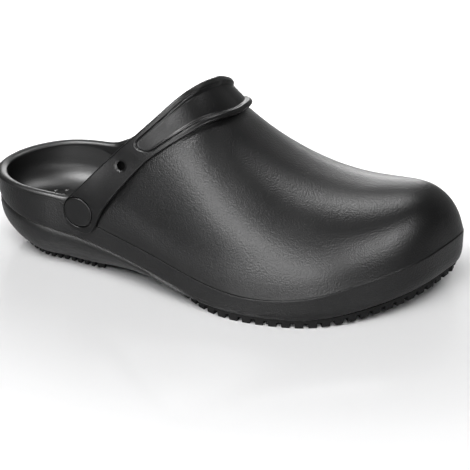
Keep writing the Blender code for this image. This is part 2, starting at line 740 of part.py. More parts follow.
def make_tread(name, rear, front, cells, parts, inset):
    """Rubber plate with a lug pulled out of each cell of its underside."""
    x, outer, inner = tread_sides(rear, front, cells, inset)
    under = lift(x) + LUG_HIGH
    mesh_data = bmesh.new()
    bottom = [[mesh_data.verts.new((x[i], outer[i] + part * (inner[i] - outer[i]), under[i]))
               for part in parts] for i in range(cells + 1)]
    top = [[mesh_data.verts.new((x[i], y[i], under[i] + PLATE_THICK)) for y in (outer, inner)]
           for i in range(cells + 1)]
    lug_faces = []
    for i in range(cells):
        for k in range(len(parts) - 1):
            lug_faces.append(mesh_data.faces.new(
                (bottom[i][k], bottom[i][k + 1], bottom[i + 1][k + 1], bottom[i + 1][k])))
        mesh_data.faces.new((top[i][0], top[i + 1][0], top[i + 1][1], top[i][1]))
        mesh_data.faces.new((bottom[i][0], bottom[i + 1][0], top[i + 1][0], top[i][0]))
        mesh_data.faces.new((bottom[i][-1], top[i][1], top[i + 1][1], bottom[i + 1][-1]))
    mesh_data.faces.new(bottom[0][::-1] + top[0])
    mesh_data.faces.new(bottom[-1] + top[-1][::-1])
    mesh_data.normal_update()
    bmesh.ops.inset_individual(mesh_data, faces=lug_faces, thickness=LUG_INSET,
                               use_even_offset=True)
    pulled = bmesh.ops.extrude_discrete_faces(mesh_data, faces=lug_faces)["faces"]
    for face in pulled:
        for vert in face.verts:
            vert.co.z = float(lift(vert.co.x))
    return add_object(name, mesh_data, "tread_rubber")


for old in list(bpy.data.objects):
    bpy.data.objects.remove(old)

COLUMN_SET = Columns(COLUMNS)
make_upper(COLUMN_SET)
make_midsole(COLUMN_SET)
make_insole(COLUMN_SET)
make_band()
make_button("button_lateral", 0)
make_button("button_medial", 1)
for tread in TREADS:
    make_tread(*tread)

# The origin is the middle of the shoe's outline, on the ground
made_objects = [made for made in bpy.data.objects if not made.hide_render]
corners = np.array([vert.co for made in made_objects for vert in made.data.vertices])
middle = (corners.min(0) + corners.max(0)) / 2
for made in bpy.data.objects:
    made.data.transform(Matrix.Translation((-middle[0], -middle[1], 0)))
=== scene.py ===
"""Looks of the chef clog: moulded foam upper, banded instep, cup sole and rubber tread.

The heel is at -X, the toe at +X and the outer side of the foot at -Y.  Tables
and sizes are in millimetres from the heel end of the last; to_frame() turns
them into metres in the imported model's frame.
"""
import math

import bmesh
import bpy
import numpy as np
from mathutils import Matrix, Vector
from mathutils.bvhtree import BVHTree


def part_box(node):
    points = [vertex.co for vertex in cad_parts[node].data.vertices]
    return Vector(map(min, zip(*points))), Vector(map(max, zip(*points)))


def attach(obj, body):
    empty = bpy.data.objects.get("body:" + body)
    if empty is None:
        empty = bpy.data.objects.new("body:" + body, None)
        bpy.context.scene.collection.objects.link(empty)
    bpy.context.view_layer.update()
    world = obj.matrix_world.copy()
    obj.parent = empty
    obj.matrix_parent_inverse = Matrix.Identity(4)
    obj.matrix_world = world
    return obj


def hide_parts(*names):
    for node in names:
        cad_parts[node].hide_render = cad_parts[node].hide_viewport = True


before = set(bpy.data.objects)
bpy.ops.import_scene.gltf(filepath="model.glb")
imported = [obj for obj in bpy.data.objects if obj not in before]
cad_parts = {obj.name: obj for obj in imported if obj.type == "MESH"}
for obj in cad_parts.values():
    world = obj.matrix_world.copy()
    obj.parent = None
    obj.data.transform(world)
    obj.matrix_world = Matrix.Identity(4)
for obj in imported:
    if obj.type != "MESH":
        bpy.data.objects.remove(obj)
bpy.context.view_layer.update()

MM = 0.001

# Smallest half width, height or wall that anything is measured against
THINNEST = 0.5

# Walls and clearances
GAP = 0.3
UPPER_WALL = 3.0
INSOLE_THICK = 3.5
INSOLE_SIDE_GAP = 0.7

# Sole heights above the ground
LUG_HIGH = 3.2
PLATE_THICK = 2.0
PLATE_GAP = 0.5
TOE_SPRING = 12.0
TOE_SPRING_FROM = 215.0
HEEL_SPRING = 10.0
HEEL_SPRING_FROM = 48.0
HEEL_SPRING_BACK = 12.0
ARCH_RISE = 2.6
ARCH_MIDDLE = 107.0
ARCH_HALF = 17.0
TOE_SPRING_POWER = 1.7
TOE_SPRING_MOST = 1.1
HEEL_SPRING_POWER = 1.6
HEEL_SPRING_MOST = 1.2

# Shape of the last across the foot, as powers of a rounded box
SIDE_POWER = 2.5
TOP_POWER = 2.1
TOE_POWER = 2.15
TOE_CAP_FROM = 261.0

# Search for the outside of the last: nearest and farthest scale, and halvings
SEARCH_FROM = 0.01
SEARCH_TO = 30.0
SEARCH_STEPS = 40

# Collar lip round the heel
LIP_PROUD = 0.5
HEEL_LEAN = 1.7
LIP_ENDS = (58.0, 78.0)
SEAM_UNDER_LIP = 1.0
SEAM_OPEN = 0.4
LIP_BACK_EXTRA = 1.6
LIP_SMOOTH_FROM = 0.02

# Roundness of the collar's edge: depth of the lip's arc, how far its foot is tucked in, the
# turns where the arcs of outside and lining end, and the top of the edge along the band
LIP_ROUND = 1.9
LIP_TUCK = 0.5
LIP_TUCK_POWER = 6
LIP_MEETS_AT = (82, 98)
LIP_TOP_HIGH = 1.2
LIP_TOP_TURNS = (30, 60, 90, 120, 150)

# Foot of the upper, brought out flush with the sole over a short height
FLUSH_INSET = 0.35
FLARE_HIGH = 34.0

# Soft channel in the vamp along the band's front edge
CHANNEL_DEPTH = 0.2
CHANNEL_REACH = 4.5

# Hollow that runs from the lining into the footbed: radius, turns of its arc, its share
# of the cup's lean, and how it meets the footbed and the seam
FILLET_RADIUS = 15.0
FILLET_SMALLEST = 0.5
FILLET_BELOW_SEAM = 4.0
FILLET_TURNS = (0, 12, 24, 36, 48, 60, 70, 80, 90)
FILLET_LEAN = 0.35
FILLET_OVER_BED = 0.1
FILLET_INTO_BED = 1.0
SHOULDER_DOWN = 0.1

# How far the back of the heel leans in down to the groove
HEEL_TUCK = 2.2
HEEL_TUCK_ENDS = (8.0, 38.0)

# Rim of the foam wall, from its middle over the groove to its side: inset, below the seam
RIM = ((0.28, 0.8), (0.10, 0.06), (0.02, 0.20), (0.0, 0.75))
RIM_INNER = 0.25
RIM_SEAT = 0.15
RIM_GROOVE_INSET = 0.75

# Foam wall down to the groove of the heel block: steps, and how it bulges and straightens
WALL_STEPS = 8
WALL_END = 1.0
WALL_BULGE = 0.105
WALL_LEAN_POWER = 1.3

# Groove above the heel block: inset as a share of full depth, inset as a share of the
# depth here, and height against the step
GROOVE = ((0.10, 0.0, 0.5), (0.45, 0.0, 0.15), (0.0, 1.9, -0.1), (0.0, 2.1, -0.7), (0.0, 1.3, -1.5))

# Belly of the block under the groove: steps, first share, inset at its top as a share of
# the groove's depth, and how it turns under
BLOCK_STEPS = 12
BLOCK_FROM = 0.1
BLOCK_TOP_INSET = 0.8
BLOCK_TOP_DOWN = 1.5
BLOCK_INSET_POWER = 1.1
BLOCK_DOWN_POWER = 1.15
UNDER_INSETS = (0.6, 1.8)
UNDER_ROUND = 0.1

# Rim of the footbed, from its side inwards: inset, height, rise added in front
FOOTBED_RIM = (
    (0, 2.6, 1.0),
    (0.3, 3.1, 1.2),
    (1.0, 3.4, 1.4),
    (2.2, 3.5, 1.5),
    (4.5, 3.5, 1.0),
    (7.0, 3.5, 0.4),
    (9.5, INSOLE_THICK, 0),
)
FOOTBED_FRONT = (105.0, 140.0)
FOOTBED_SHARES = (0.3, 0.6)

# How far the looks stay inside the plain model all round
OUTLINE_TRIM = 0.03

# Faces that meet at more than this angle show a crease, in degrees
SOFT_ANGLE = 60
EDGE_ANGLE = 50
NUB_ANGLE = 45
LUG_ANGLE = 35

# Points of a grid closer than this are one
GRID_MERGE = 0.001

# Ends of the long middle line, measured from the heel and from the toe of a ring
MIDDLE_FROM_HEEL = 26.0
MIDDLE_FROM_TOE = 24.0
MIDDLE_SHARE = 0.55

# Where the sole's sides and the collar's top line are matched, as x of each
MATCHED_AT = (84.0, 79.0)

# Mesh density: columns round the shoe, rows up the vamp outside and inside
COLUMNS = 280
VAMP_ROWS = 66
LINING_ROWS = 30
END_CROWDING = 0.03
SMOOTHED_ROWS = 26
SMOOTHING_PASSES = 14
PATH_STEPS = 160
PATH_FROM = 0.03
PATH_CLEAR = 0.3
COLLAR_STEPS = 801

# Round the sole from the back of the heel, by the outer side and the toe.
# name, x, y, seam with the upper z, step in the side z, lower edge z,
# inset of the lower edge, depth of the step, wall of the cup at the seam,
# lean of that wall down to its floor
STATIONS = (
    ("heel back", 4.5, 1.5, 42.3, 33.5, 15.0, 9.5, 1.2, 2.6, 4.5),
    ("heel corner outer", 14.5, -23, 43.3, 31.5, 12.5, 9.5, 1.2, 2.6, 4.5),
    ("heel outer", 41, -37, 45.0, 28.5, 6.6, 8.5, 1.2, 2.6, 4.5),
    ("side outer", 63, -39.4, 44.5, 26.0, 6.0, 8.5, 1.2, 2.6, 4.5),
    ("waist rear outer", 85, -41.6, 36.0, 23.0, 6.0, 9.0, 1.2, 2.6, 4.5),
    ("waist outer", 120, -48.5, 28.5, 16.5, 6.5, 16.0, 1.4, 2.6, 5.0),
    ("ball rear outer", 157, -56.5, 20.0, 9.0, 5.6, 3.6, 0.2, 2.2, 0.8),
    ("ball outer", 189, -60, 17.5, 11.0, 5.3, 1.6, 0.0, 1.8, 0.0),
    ("toe rear outer", 220, -54, 20.5, 12.5, 5.6, 1.6, 0.0, 1.6, 0.0),
    ("toe outer", 247.5, -38, 27.0, 17.5, 9.0, 1.8, 0.0, 1.6, 0.0),
    ("toe front outer", 271.3, -14.5, 32.3, 22.5, 13.5, 2.0, 0.0, 1.6, 0.0),
    ("toe tip", 284.6, 11, 35.0, 25.5, 16.0, 2.0, 0.0, 1.6, 0.0),
    ("toe front inner", 288, 32.4, 34.0, 25.0, 15.5, 2.0, 0.0, 1.6, 0.0),
    ("toe inner", 268.8, 47, 27.5, 19.5, 12.0, 1.8, 0.0, 1.6, 0.0),
    ("ball front inner", 231, 53, 21.5, 13.0, 6.5, 1.6, 0.0, 1.6, 0.0),
    ("ball inner", 190, 51, 19.0, 11.5, 5.3, 1.6, 0.0, 1.8, 0.0),
    ("waist front inner", 150, 43.5, 24.0, 11.5, 6.2, 6.0, 0.4, 2.4, 2.0),
    ("waist inner", 112, 38, 31.0, 19.0, 8.5, 15.0, 1.4, 2.6, 5.0),
    ("side inner", 84, 38, 37.0, 23.5, 7.0, 10.0, 1.2, 2.6, 4.5),
    ("heel inner", 58, 38, 45.0, 27.0, 6.3, 8.5, 1.2, 2.6, 4.5),
    ("heel side inner", 36, 34.8, 45.5, 29.0, 7.2, 8.5, 1.2, 2.6, 4.5),
    ("heel corner inner", 15.5, 22.5, 44.0, 31.5, 12.5, 9.5, 1.2, 2.6, 4.5),
)

# Crest of the instep, seen from the side: x, height, foot of the section
CREST = (
    (20, 134, 30),
    (95, 133, 20),
    (120, 128, 16),
    (147, 113.4, 13),
    (165, 97.7, 12),
    (180, 86.8, 11),
    (210, 72.2, 12),
    (235, 66.8, 15),
    (262, 66, 22),
    (290, 64.3, 29.5),
)

# Line of the crest between the outer side (0) and the inner side (1): x, share
CREST_LINE = ((60, 0.59), (180, 0.575), (290, 0.56))

# Top of the cup's floor under the insole: x, z
FLOOR = ((0, 21), (60, 20), (110, 16), (160, 11.5), (200, 10.5), (240, 12.5), (292, 22.5))

# Top line of the collar along the heel: name, x, outer side z, inner side z
COLLAR_HEEL = (
    ("heel back", 8, 45.8, 45.8),
    ("heel corner", 18, 46.8, 47.8),
    ("heel side", 41, 48.6, 50.2),
    ("side", 58, 49.0, 51.0),
    ("side front", 70, 50.2, 52.6),
)

# Edges of the band, from its end under the button up to the crest of the
# instep, as x and girth angle: 0 at the foot of the wall, 90 on the crest.
# name, rear x, rear angle, front x, front angle, thickness along the rear edge,
# thickness along the front edge, depth of the panel, how much further forward
# the rear edge is on the inner side, and the front edge
BAND = (
    ("end", 75.0, 3.2, 79.0, 3.2, 1.3, 1.3, 0, 0, 0),
    ("end round", 69.5, 4.4, 85.0, 4.4, 1.3, 1.3, 0, 0, 0),
    ("button low", 66.5, 7.0, 88.8, 7.4, 1.3, 1.3, 0, 0, 0),
    ("button high", 67.5, 11.0, 92.0, 11.2, 1.5, 1.5, 0, 0.5, 0.5),
    ("neck", 72.5, 14.6, 96.0, 15.0, 2.1, 2.1, 0, 2.0, 2.0),
    ("strap foot", 79.5, 18.8, 100.5, 18.6, 2.6, 2.6, 0, 4.5, 4.5),
    ("strap low", 88.0, 24.7, 107.0, 24.0, 2.8, 2.8, 0, 7.5, 7.5),
    ("hole", 96.0, 30.6, 114.0, 30.0, 2.8, 2.8, 0, 10.0, 10.0),
    ("strap", 104.0, 36.6, 121.0, 35.8, 2.8, 2.8, 0.1, 12.0, 12.0),
    ("panel start", 112.0, 43.0, 129.0, 42.0, 2.8, 2.8, 0.3, 13.0, 13.0),
    ("shoulder", 122.2, 53.2, 139.5, 51.8, 3.0, 2.9, 0.6, 12.5, 11.0),
    ("instep side", 130.6, 65.0, 148.0, 63.0, 4.0, 3.2, 1.2, 11.0, 8.0),
    ("instep", 137.2, 77.5, 156.0, 76.0, 5.2, 3.8, 2.2, 8.5, 4.5),
    ("crest", 142.2, 90.0, 161.3, 90.0, 5.6, 4.0, 2.6, 0, 0),
)
COLLAR_JOINS_BAND = 5
BAND_INNER_GAP = 0.5
BAND_ON_WALL = ((50, 52), (64, 52), (76, 51), (84, 46), (91, 41), (100, 37.5), (112, 35.5),
                (130, 35), (160, 35))
BAND_SLOPE_HIGH = 46.0
BAND_ALONG = 760
BAND_ACROSS = 100
BAND_INNER_SHARES = (1.0, 0.75, 0.5, 0.25, 0.0)
BAND_EDGE_ROUND = 1.3
BAND_FRONT_UNDERCUT = 1.1
BAND_FRONT_ROUND = 0.9
BAND_ROUND_OF_THICK = 0.7
BAND_END_ROUND = 0.8
BAND_END_DROP = 0.7
BAND_CROWDING = 0.35
BAND_INNER_INSET = 0.015

# Part of the band's front edge that the vamp's channel follows, in rows of the table
CHANNEL_ROWS = (3.0, 4.0)
CHANNEL_STEPS = 400

# Sunk panel of the band: where its round end lies along the band in rows of
# the table, the ridges left beside it and the groove drawn round it
PANEL_END = 8.3
PANEL_REAR_RIDGE = 3.7
PANEL_FRONT_RIDGE = 3.7
PANEL_RIDGE_THINNER = 0.9
PANEL_SLOPE = 1.9
GROOVE_HALF_WIDTH = 0.40
GROOVE_DEPTH = 0.7
GROOVE_FADE = (0.3, 2.2)

# Small holes of the band: x and girth angle, size, height of the near-black plug of painted shade
# inside, depth of the dished rim and where it starts and ends beyond the hole
HOLE_PLACE = (104.0, 29.6)
HOLE_RADIUS = 2.6
HOLE_SHADE_PLUG_HIGH = 0.7
HOLE_DISH = 0.4
HOLE_DISH_ENDS = (-0.2, 1.3)
HOLE_CUT_LONG = 14.0
HOLE_SHADE_PLUG_GAP = 0.05

# Round caps on the band's ends: x and z of their middle, depth of their seat, and how
# much their middle stands up
BUTTON_PLACE = (77.0, 43.0)
BUTTON_RADIUS = 9.2
BUTTON_SEAT_DEPTH = 1.0
BUTTON_DOME = 0.35
BUTTON_SEAT_ROUND = (0.3, 0.9)

# Outline of a cap from its middle over the rounded rim, and the search for the band's
# surface under it: from how far out, how far in, and the height used where none is found
BUTTON_RINGS = (0.001, 2, 4, 6, 7.4, 8.4)
BUTTON_ROUND = 0.55
BUTTON_ROUND_TURNS = (0, 20, 40, 60, 75, 90)
BUTTON_THICK = 1.0
BUTTON_STEPS = 72
BUTTON_MERGE = 0.01
BUTTON_CLEAR = 0.1
BUTTON_LOOK_FROM = 20.0
BUTTON_LOOK_TO = 26.0
BUTTON_UNFOUND = 2.0

# How far from its own side of the shoe a hole or a button still shapes the band, and the
# distance given to points beyond that
SIDE_REACH = 12.0
FAR_AWAY = 92.0

# Rubber treads: name, rear x, front x, inset from the foam's lower edge, pitch of
# the lugs, length and depth of a lug
TREADS = (
    ("outsole_heel", 24.0, 86.0, 3.4, 4.6, 3.0, 4.0),
    ("outsole_forefoot", 127.0, 285.6, 0.3, 7.6, 5.4, 6.5),
)
PLATE_ROWS = 70
LUG_GAP = 2.0
LUG_TAPER = 0.12
LUG_BEVEL = 0.25
LUG_INTO_PLATE = 0.2
LUG_ROW_ENDS = (2.0, 9.0)
LUG_ROOM = 1.0

# Nubs of the footbed under the heel: size, pitch, and the field that they fill
NUB_RADIUS = 1.9
NUB_HIGH = 0.8
NUB_PITCH = 6.2
NUB_X = (24.0, 62.0)
NUB_Y = (-14.0, 20.0)

# Light and camera, around the shoe in its own millimetres
AIM = (145.0, 0.0, 40.0)
CAMERA_TURN = 20.2
CAMERA_RISE = 27.9
CAMERA_FAR = 956.0
PIXELS_PER_MM = 1.692
PHOTO_SIZE = 470
AXIS_PIXEL = (214.2, 203.8)
SENSOR = 36.0


def closed_spline(values, places):
    """Read a periodic cubic through values at 0, 1, 2 and so on."""
    values = np.asarray(values, float)
    count = len(values)
    rows = np.arange(count)
    matrix = np.zeros((count, count))
    matrix[rows, rows] = 4
    matrix[rows, (rows + 1) % count] = 1
    matrix[rows, (rows - 1) % count] = 1
    around = np.roll(values, -1, 0) - 2 * values + np.roll(values, 1, 0)
    bend = np.linalg.solve(matrix, 6 * around)
    places = np.asarray(places, float) % count
    low = np.floor(places).astype(int) % count
    high = (low + 1) % count
    part = places - np.floor(places)
    if values.ndim > 1:
        part = part[..., None]
    rest = 1 - part
    return (rest * values[low] + part * values[high]
            + (rest ** 3 - rest) * bend[low] / 6 + (part ** 3 - part) * bend[high] / 6)


def open_spline(table, x, column=1):
    """Read a natural cubic through one column of a table against its first column."""
    table = np.asarray(table, float)
    xs, ys = table[:, 0], table[:, column]
    count = len(xs)
    step = np.diff(xs)
    matrix = np.eye(count)
    right = np.zeros(count)
    for i in range(1, count - 1):
        matrix[i, i - 1:i + 2] = step[i - 1], 2 * (step[i - 1] + step[i]), step[i]
        right[i] = 6 * ((ys[i + 1] - ys[i]) / step[i] - (ys[i] - ys[i - 1]) / step[i - 1])
    bend = np.linalg.solve(matrix, right)
    x = np.clip(x, xs[0], xs[-1])
    low = np.clip(np.searchsorted(xs, x) - 1, 0, count - 2)
    before = (xs[low + 1] - x) / step[low]
    after = (x - xs[low]) / step[low]
    return (before * ys[low] + after * ys[low + 1]
            + ((before ** 3 - before) * bend[low]
               + (after ** 3 - after) * bend[low + 1]) * step[low] ** 2 / 6)


def smooth_step(x, start, end):
    """Rise smoothly from 0 at start to 1 at end."""
    share = np.clip((np.asarray(x, float) - start) / (end - start), 0, 1)
    return share * share * (3 - 2 * share)


def lengths(points):
    """Distance along a polyline at each of its points."""
    steps = np.linalg.norm(np.diff(points, axis=0), axis=1)
    return np.concatenate([[0], np.cumsum(steps)])


def along(points, wanted):
    """Read a polyline at the wanted distances along it."""
    length = lengths(points)
    return np.stack([np.interp(wanted, length, points[:, k])
                     for k in range(points.shape[1])], axis=1)


def spaced(points, count):
    """Return count points along a polyline, somewhat closer together at its two ends."""
    share = np.linspace(0, 1, count)
    share -= END_CROWDING * np.sin(2 * np.pi * share)
    return along(points, share * lengths(points)[-1])


STATION_TABLE = np.array([row[1:] for row in STATIONS], float)
SEAM, STEP, EDGE, EDGE_INSET, STEP_DEPTH, CUP_WALL, CUP_LEAN = range(2, 9)
FINE = 3800


def station_value(column, places):
    """Read one column of the stations at places round the sole."""
    return closed_spline(STATION_TABLE[:, column], places)


def outline(places, inset=0.0):
    """Return plan points of the sole's widest line, moved inwards by inset."""
    nudge = 0.01
    line = STATION_TABLE[:, :2]
    places = np.asarray(places, float)
    heading = closed_spline(line, places + nudge) - closed_spline(line, places - nudge)
    heading /= np.linalg.norm(heading, axis=-1, keepdims=True)
    inwards = np.stack([-heading[..., 1], heading[..., 0]], axis=-1)
    inset = np.broadcast_to(np.asarray(inset, float), places.shape)
    return closed_spline(line, places) + inwards * inset[..., None]


def sides_of(inset_of):
    """Places and plan points of the two sides of an inset outline, heel to toe tip."""
    dense = np.arange(FINE) * len(STATIONS) / FINE
    loop = outline(dense, inset_of(dense))
    tip = int(loop[:, 0].argmax())
    back = int(loop[:, 0].argmin())
    outer = np.arange(back - FINE if back > tip else back, tip + 1)
    inner = np.arange(tip, outer[0] + FINE + 1)[::-1]
    return [(rows * len(STATIONS) / FINE, loop[rows % FINE]) for rows in (outer, inner)]


def last_inset(places):
    """Distance from the sole's outline to the outside of the upper."""
    return station_value(CUP_WALL, places) + GAP


SOLE_SIDES = sides_of(lambda places: 0.0 * places)
LAST_SIDES = sides_of(last_inset)
LAST_TOE = LAST_SIDES[0][1][-1, 0]


def section(x):
    """Return crest y, outer half width, inner half width, foot z and height at x."""
    x = np.asarray(x, float)
    outer, inner = (np.interp(x, side[:, 0], side[:, 1]) for _, side in LAST_SIDES)
    crest_y = outer + open_spline(CREST_LINE, x) * (inner - outer)
    foot = open_spline(CREST, x, 2)
    into_toe = np.clip((x - TOE_CAP_FROM) / (LAST_TOE - TOE_CAP_FROM), 0, 1)
    cap = (1 - into_toe ** TOE_POWER) ** (1 / TOE_POWER)
    high = (open_spline(CREST, x, 1) - foot) * cap
    return crest_y, crest_y - outer, inner - crest_y, foot, high


def last_point(x, angle):
    """Point of the last at x and a girth angle, 0 outer foot, 90 crest, 180 inner foot."""
    crest_y, outer, inner, foot, high = section(x)
    turn = np.radians(angle)
    across = np.abs(np.cos(turn)) ** (2 / SIDE_POWER)
    up = np.sin(turn) ** (2 / TOP_POWER)
    y = np.where(np.cos(turn) > 0, crest_y - outer * across, crest_y + inner * across)
    return np.stack([np.broadcast_to(x, y.shape), y, foot + high * up], axis=-1)


def fullness(points):
    """How far across and up each point lies, as shares of the last's half widths and height."""
    crest_y, outer, inner, foot, high = section(points[..., 0])
    half = np.where(points[..., 1] < crest_y, outer, inner)
    across = np.abs(points[..., 1] - crest_y) / np.maximum(half, THINNEST)
    up = np.maximum(points[..., 2] - foot, 0.0) / np.maximum(high, THINNEST)
    return across, up


def snap(points):
    """Move points, within their own cross section, onto the outside of the last."""
    points = np.array(points, float)
    crest_y, _, _, foot, _ = section(points[..., 0])
    across, up = fullness(points)
    low = np.full(across.shape, SEARCH_FROM)
    far = np.full(across.shape, SEARCH_TO)
    for _ in range(SEARCH_STEPS):
        middle = (low + far) / 2
        outside = (middle * across) ** SIDE_POWER + (middle * up) ** TOP_POWER > 1
        far = np.where(outside, middle, far)
        low = np.where(outside, low, middle)
    points[..., 1] = crest_y + (points[..., 1] - crest_y) * low
    points[..., 2] = foot + (points[..., 2] - foot) * low
    return points


def last_normal(points):
    """Outward direction of the last at points of its outside."""
    nudge = 0.5

    def depth(places):
        across, up = fullness(places)
        return across ** SIDE_POWER + up ** TOP_POWER

    normal = np.stack([depth(points + nudge * axis) - depth(points - nudge * axis)
                       for axis in np.eye(3)], axis=-1)
    return normal / np.linalg.norm(normal, axis=-1, keepdims=True)


def lift(x):
    """Rise of the walking surface at the toe and at the back of the heel."""
    x = np.asarray(x, float)
    toe = np.clip((x - TOE_SPRING_FROM) / (LAST_TOE - TOE_SPRING_FROM), 0, TOE_SPRING_MOST)
    heel = np.clip((HEEL_SPRING_FROM - x) / (HEEL_SPRING_FROM - HEEL_SPRING_BACK),
                   0, HEEL_SPRING_MOST)
    return TOE_SPRING * toe ** TOE_SPRING_POWER + HEEL_SPRING * heel ** HEEL_SPRING_POWER


def sole_under(x):
    """Underside of the foam sole, with the arch between heel and ball."""
    arch = np.clip(1 - ((np.asarray(x, float) - ARCH_MIDDLE) / ARCH_HALF) ** 2, 0, 1)
    return lift(x) + LUG_HIGH + PLATE_THICK + PLATE_GAP + ARCH_RISE * arch ** 2


def floor_of_cup(x):
    """Top of the foam sole inside the cup."""
    return open_spline(FLOOR, x)


def band_edges():
    """Rows of the band table for both sides, outer end to inner end."""
    rows = np.array([row[1:] for row in BAND], float)
    mirrored = rows[-2::-1].copy()
    mirrored[:, (1, 3)] = 180 - mirrored[:, (1, 3)]
    mirrored[:, (0, 2)] += mirrored[:, 7:9]
    rows = np.concatenate([rows, mirrored])
    return np.column_stack([np.arange(len(rows)), rows])


def collar_side(side):
    """Dense top line of one side, 0 outer or 1 inner, from heel back to crest."""
    rings = []
    for each in (0, 1):
        side_x, side_y = LAST_SIDES[each][1].T
        heel = [(row[1], np.interp(row[1], side_x, side_y), row[2 + each])
                for row in COLLAR_HEEL]
        heel[0] = (COLLAR_HEEL[0][1], STATIONS[0][2], COLLAR_HEEL[0][2])
        edge = band_edges()[::-1 if each else 1][COLLAR_JOINS_BAND:len(BAND)]
        rings.append(np.concatenate([heel, last_point(edge[:, 1], edge[:, 2])]))
    ring = np.concatenate([rings[0], rings[1][-2:0:-1]])
    steps = np.linspace(0, len(rings[0]) - 1, COLLAR_STEPS)
    return closed_spline(ring, -steps if side else steps)


class Columns:
    """Places round the sole, each with its own point on the collar."""

    def __init__(self, count):
        self.count = count
        half = count // 2
        places, collar = [], []
        for side, (side_places, side_points) in enumerate(SOLE_SIDES):
            length = lengths(side_points)
            wanted = np.linspace(0, length[-1], half + 1)
            top = collar_side(side)
            top_length = lengths(top)
            split = np.interp(MATCHED_AT[0], side_points[:, 0], length)
            top_split = np.interp(MATCHED_AT[1], top[:, 0], top_length)
            matched = np.interp(wanted, (0, split, length[-1]), (0, top_split, top_length[-1]))
            place = np.interp(wanted, length, side_places)
            point = along(top, matched)
            if side:
                place, point = place[::-1], point[::-1]
            places.append(place[:-1])
            collar.append(point[:-1])
        self.places = np.concatenate(places)
        self.collar = np.concatenate(collar)
        self.x = outline(self.places)[:, 0]
        self.lip = 1 - smooth_step(self.x, *LIP_ENDS)
        self.back = 1 - smooth_step(self.x, *HEEL_TUCK_ENDS)

    def ring(self, inset, z):
        """Points at one inset and height, each a number or one value a column."""
        plan = outline(self.places, inset + OUTLINE_TRIM)
        if callable(z):
            z = z(plan[:, 0])
        return np.column_stack([plan, np.broadcast_to(z, self.count)])

    def value(self, column):
        """One column of the stations at every place."""
        return station_value(column, self.places)

    def seam(self):
        """Height of the line where the foam cup ends and the upper begins."""
        return self.value(SEAM) + SEAM_UNDER_LIP * self.lip


def wall_path(start, end, bottom):
    """Path over the outside of the last from a seam point to a collar point."""
    share = np.linspace(PATH_FROM, 1, PATH_STEPS)[:, None] ** 2
    path = snap(start + share * (end - start))
    path = path[path[:, 2] > bottom + PATH_CLEAR]
    return np.concatenate([[start], path])


def ellipse_arc(inset, z, reach_inset, reach_z, start, end, count):
    """Inset and height of an arc; at 90 degrees it is at its top."""
    turn = np.radians(np.linspace(start, end, count))[:, None]
    return inset - reach_inset * np.cos(turn), z + reach_z * np.sin(turn)


def grid_normals(grid):
    """Outward directions of a grid of points, columns round and rows up."""
    round_it = np.roll(grid, -1, 0) - np.roll(grid, 1, 0)
    up_it = np.gradient(grid, axis=1)
    normal = np.cross(round_it, up_it)
    return normal / np.linalg.norm(normal, axis=-1, keepdims=True)


def band_front_line():
    """Points of the last under the band's front edge, from the outer end to the inner end."""
    table = band_edges()
    places = np.linspace(CHANNEL_ROWS[0], len(table) - CHANNEL_ROWS[1], CHANNEL_STEPS)
    front_x, front_angle = (open_spline(table, places, k) for k in (3, 4))
    return last_point(front_x, front_angle)


def band_channel(points):
    """Depth of the soft channel that runs along the band's front edge."""
    line = band_front_line()
    away = np.full(points.shape[:-1], np.inf)
    for spot in line:
        away = np.minimum(away, np.linalg.norm(points - spot, axis=-1))
    return CHANNEL_DEPTH * np.exp(-(away / CHANNEL_REACH) ** 2)


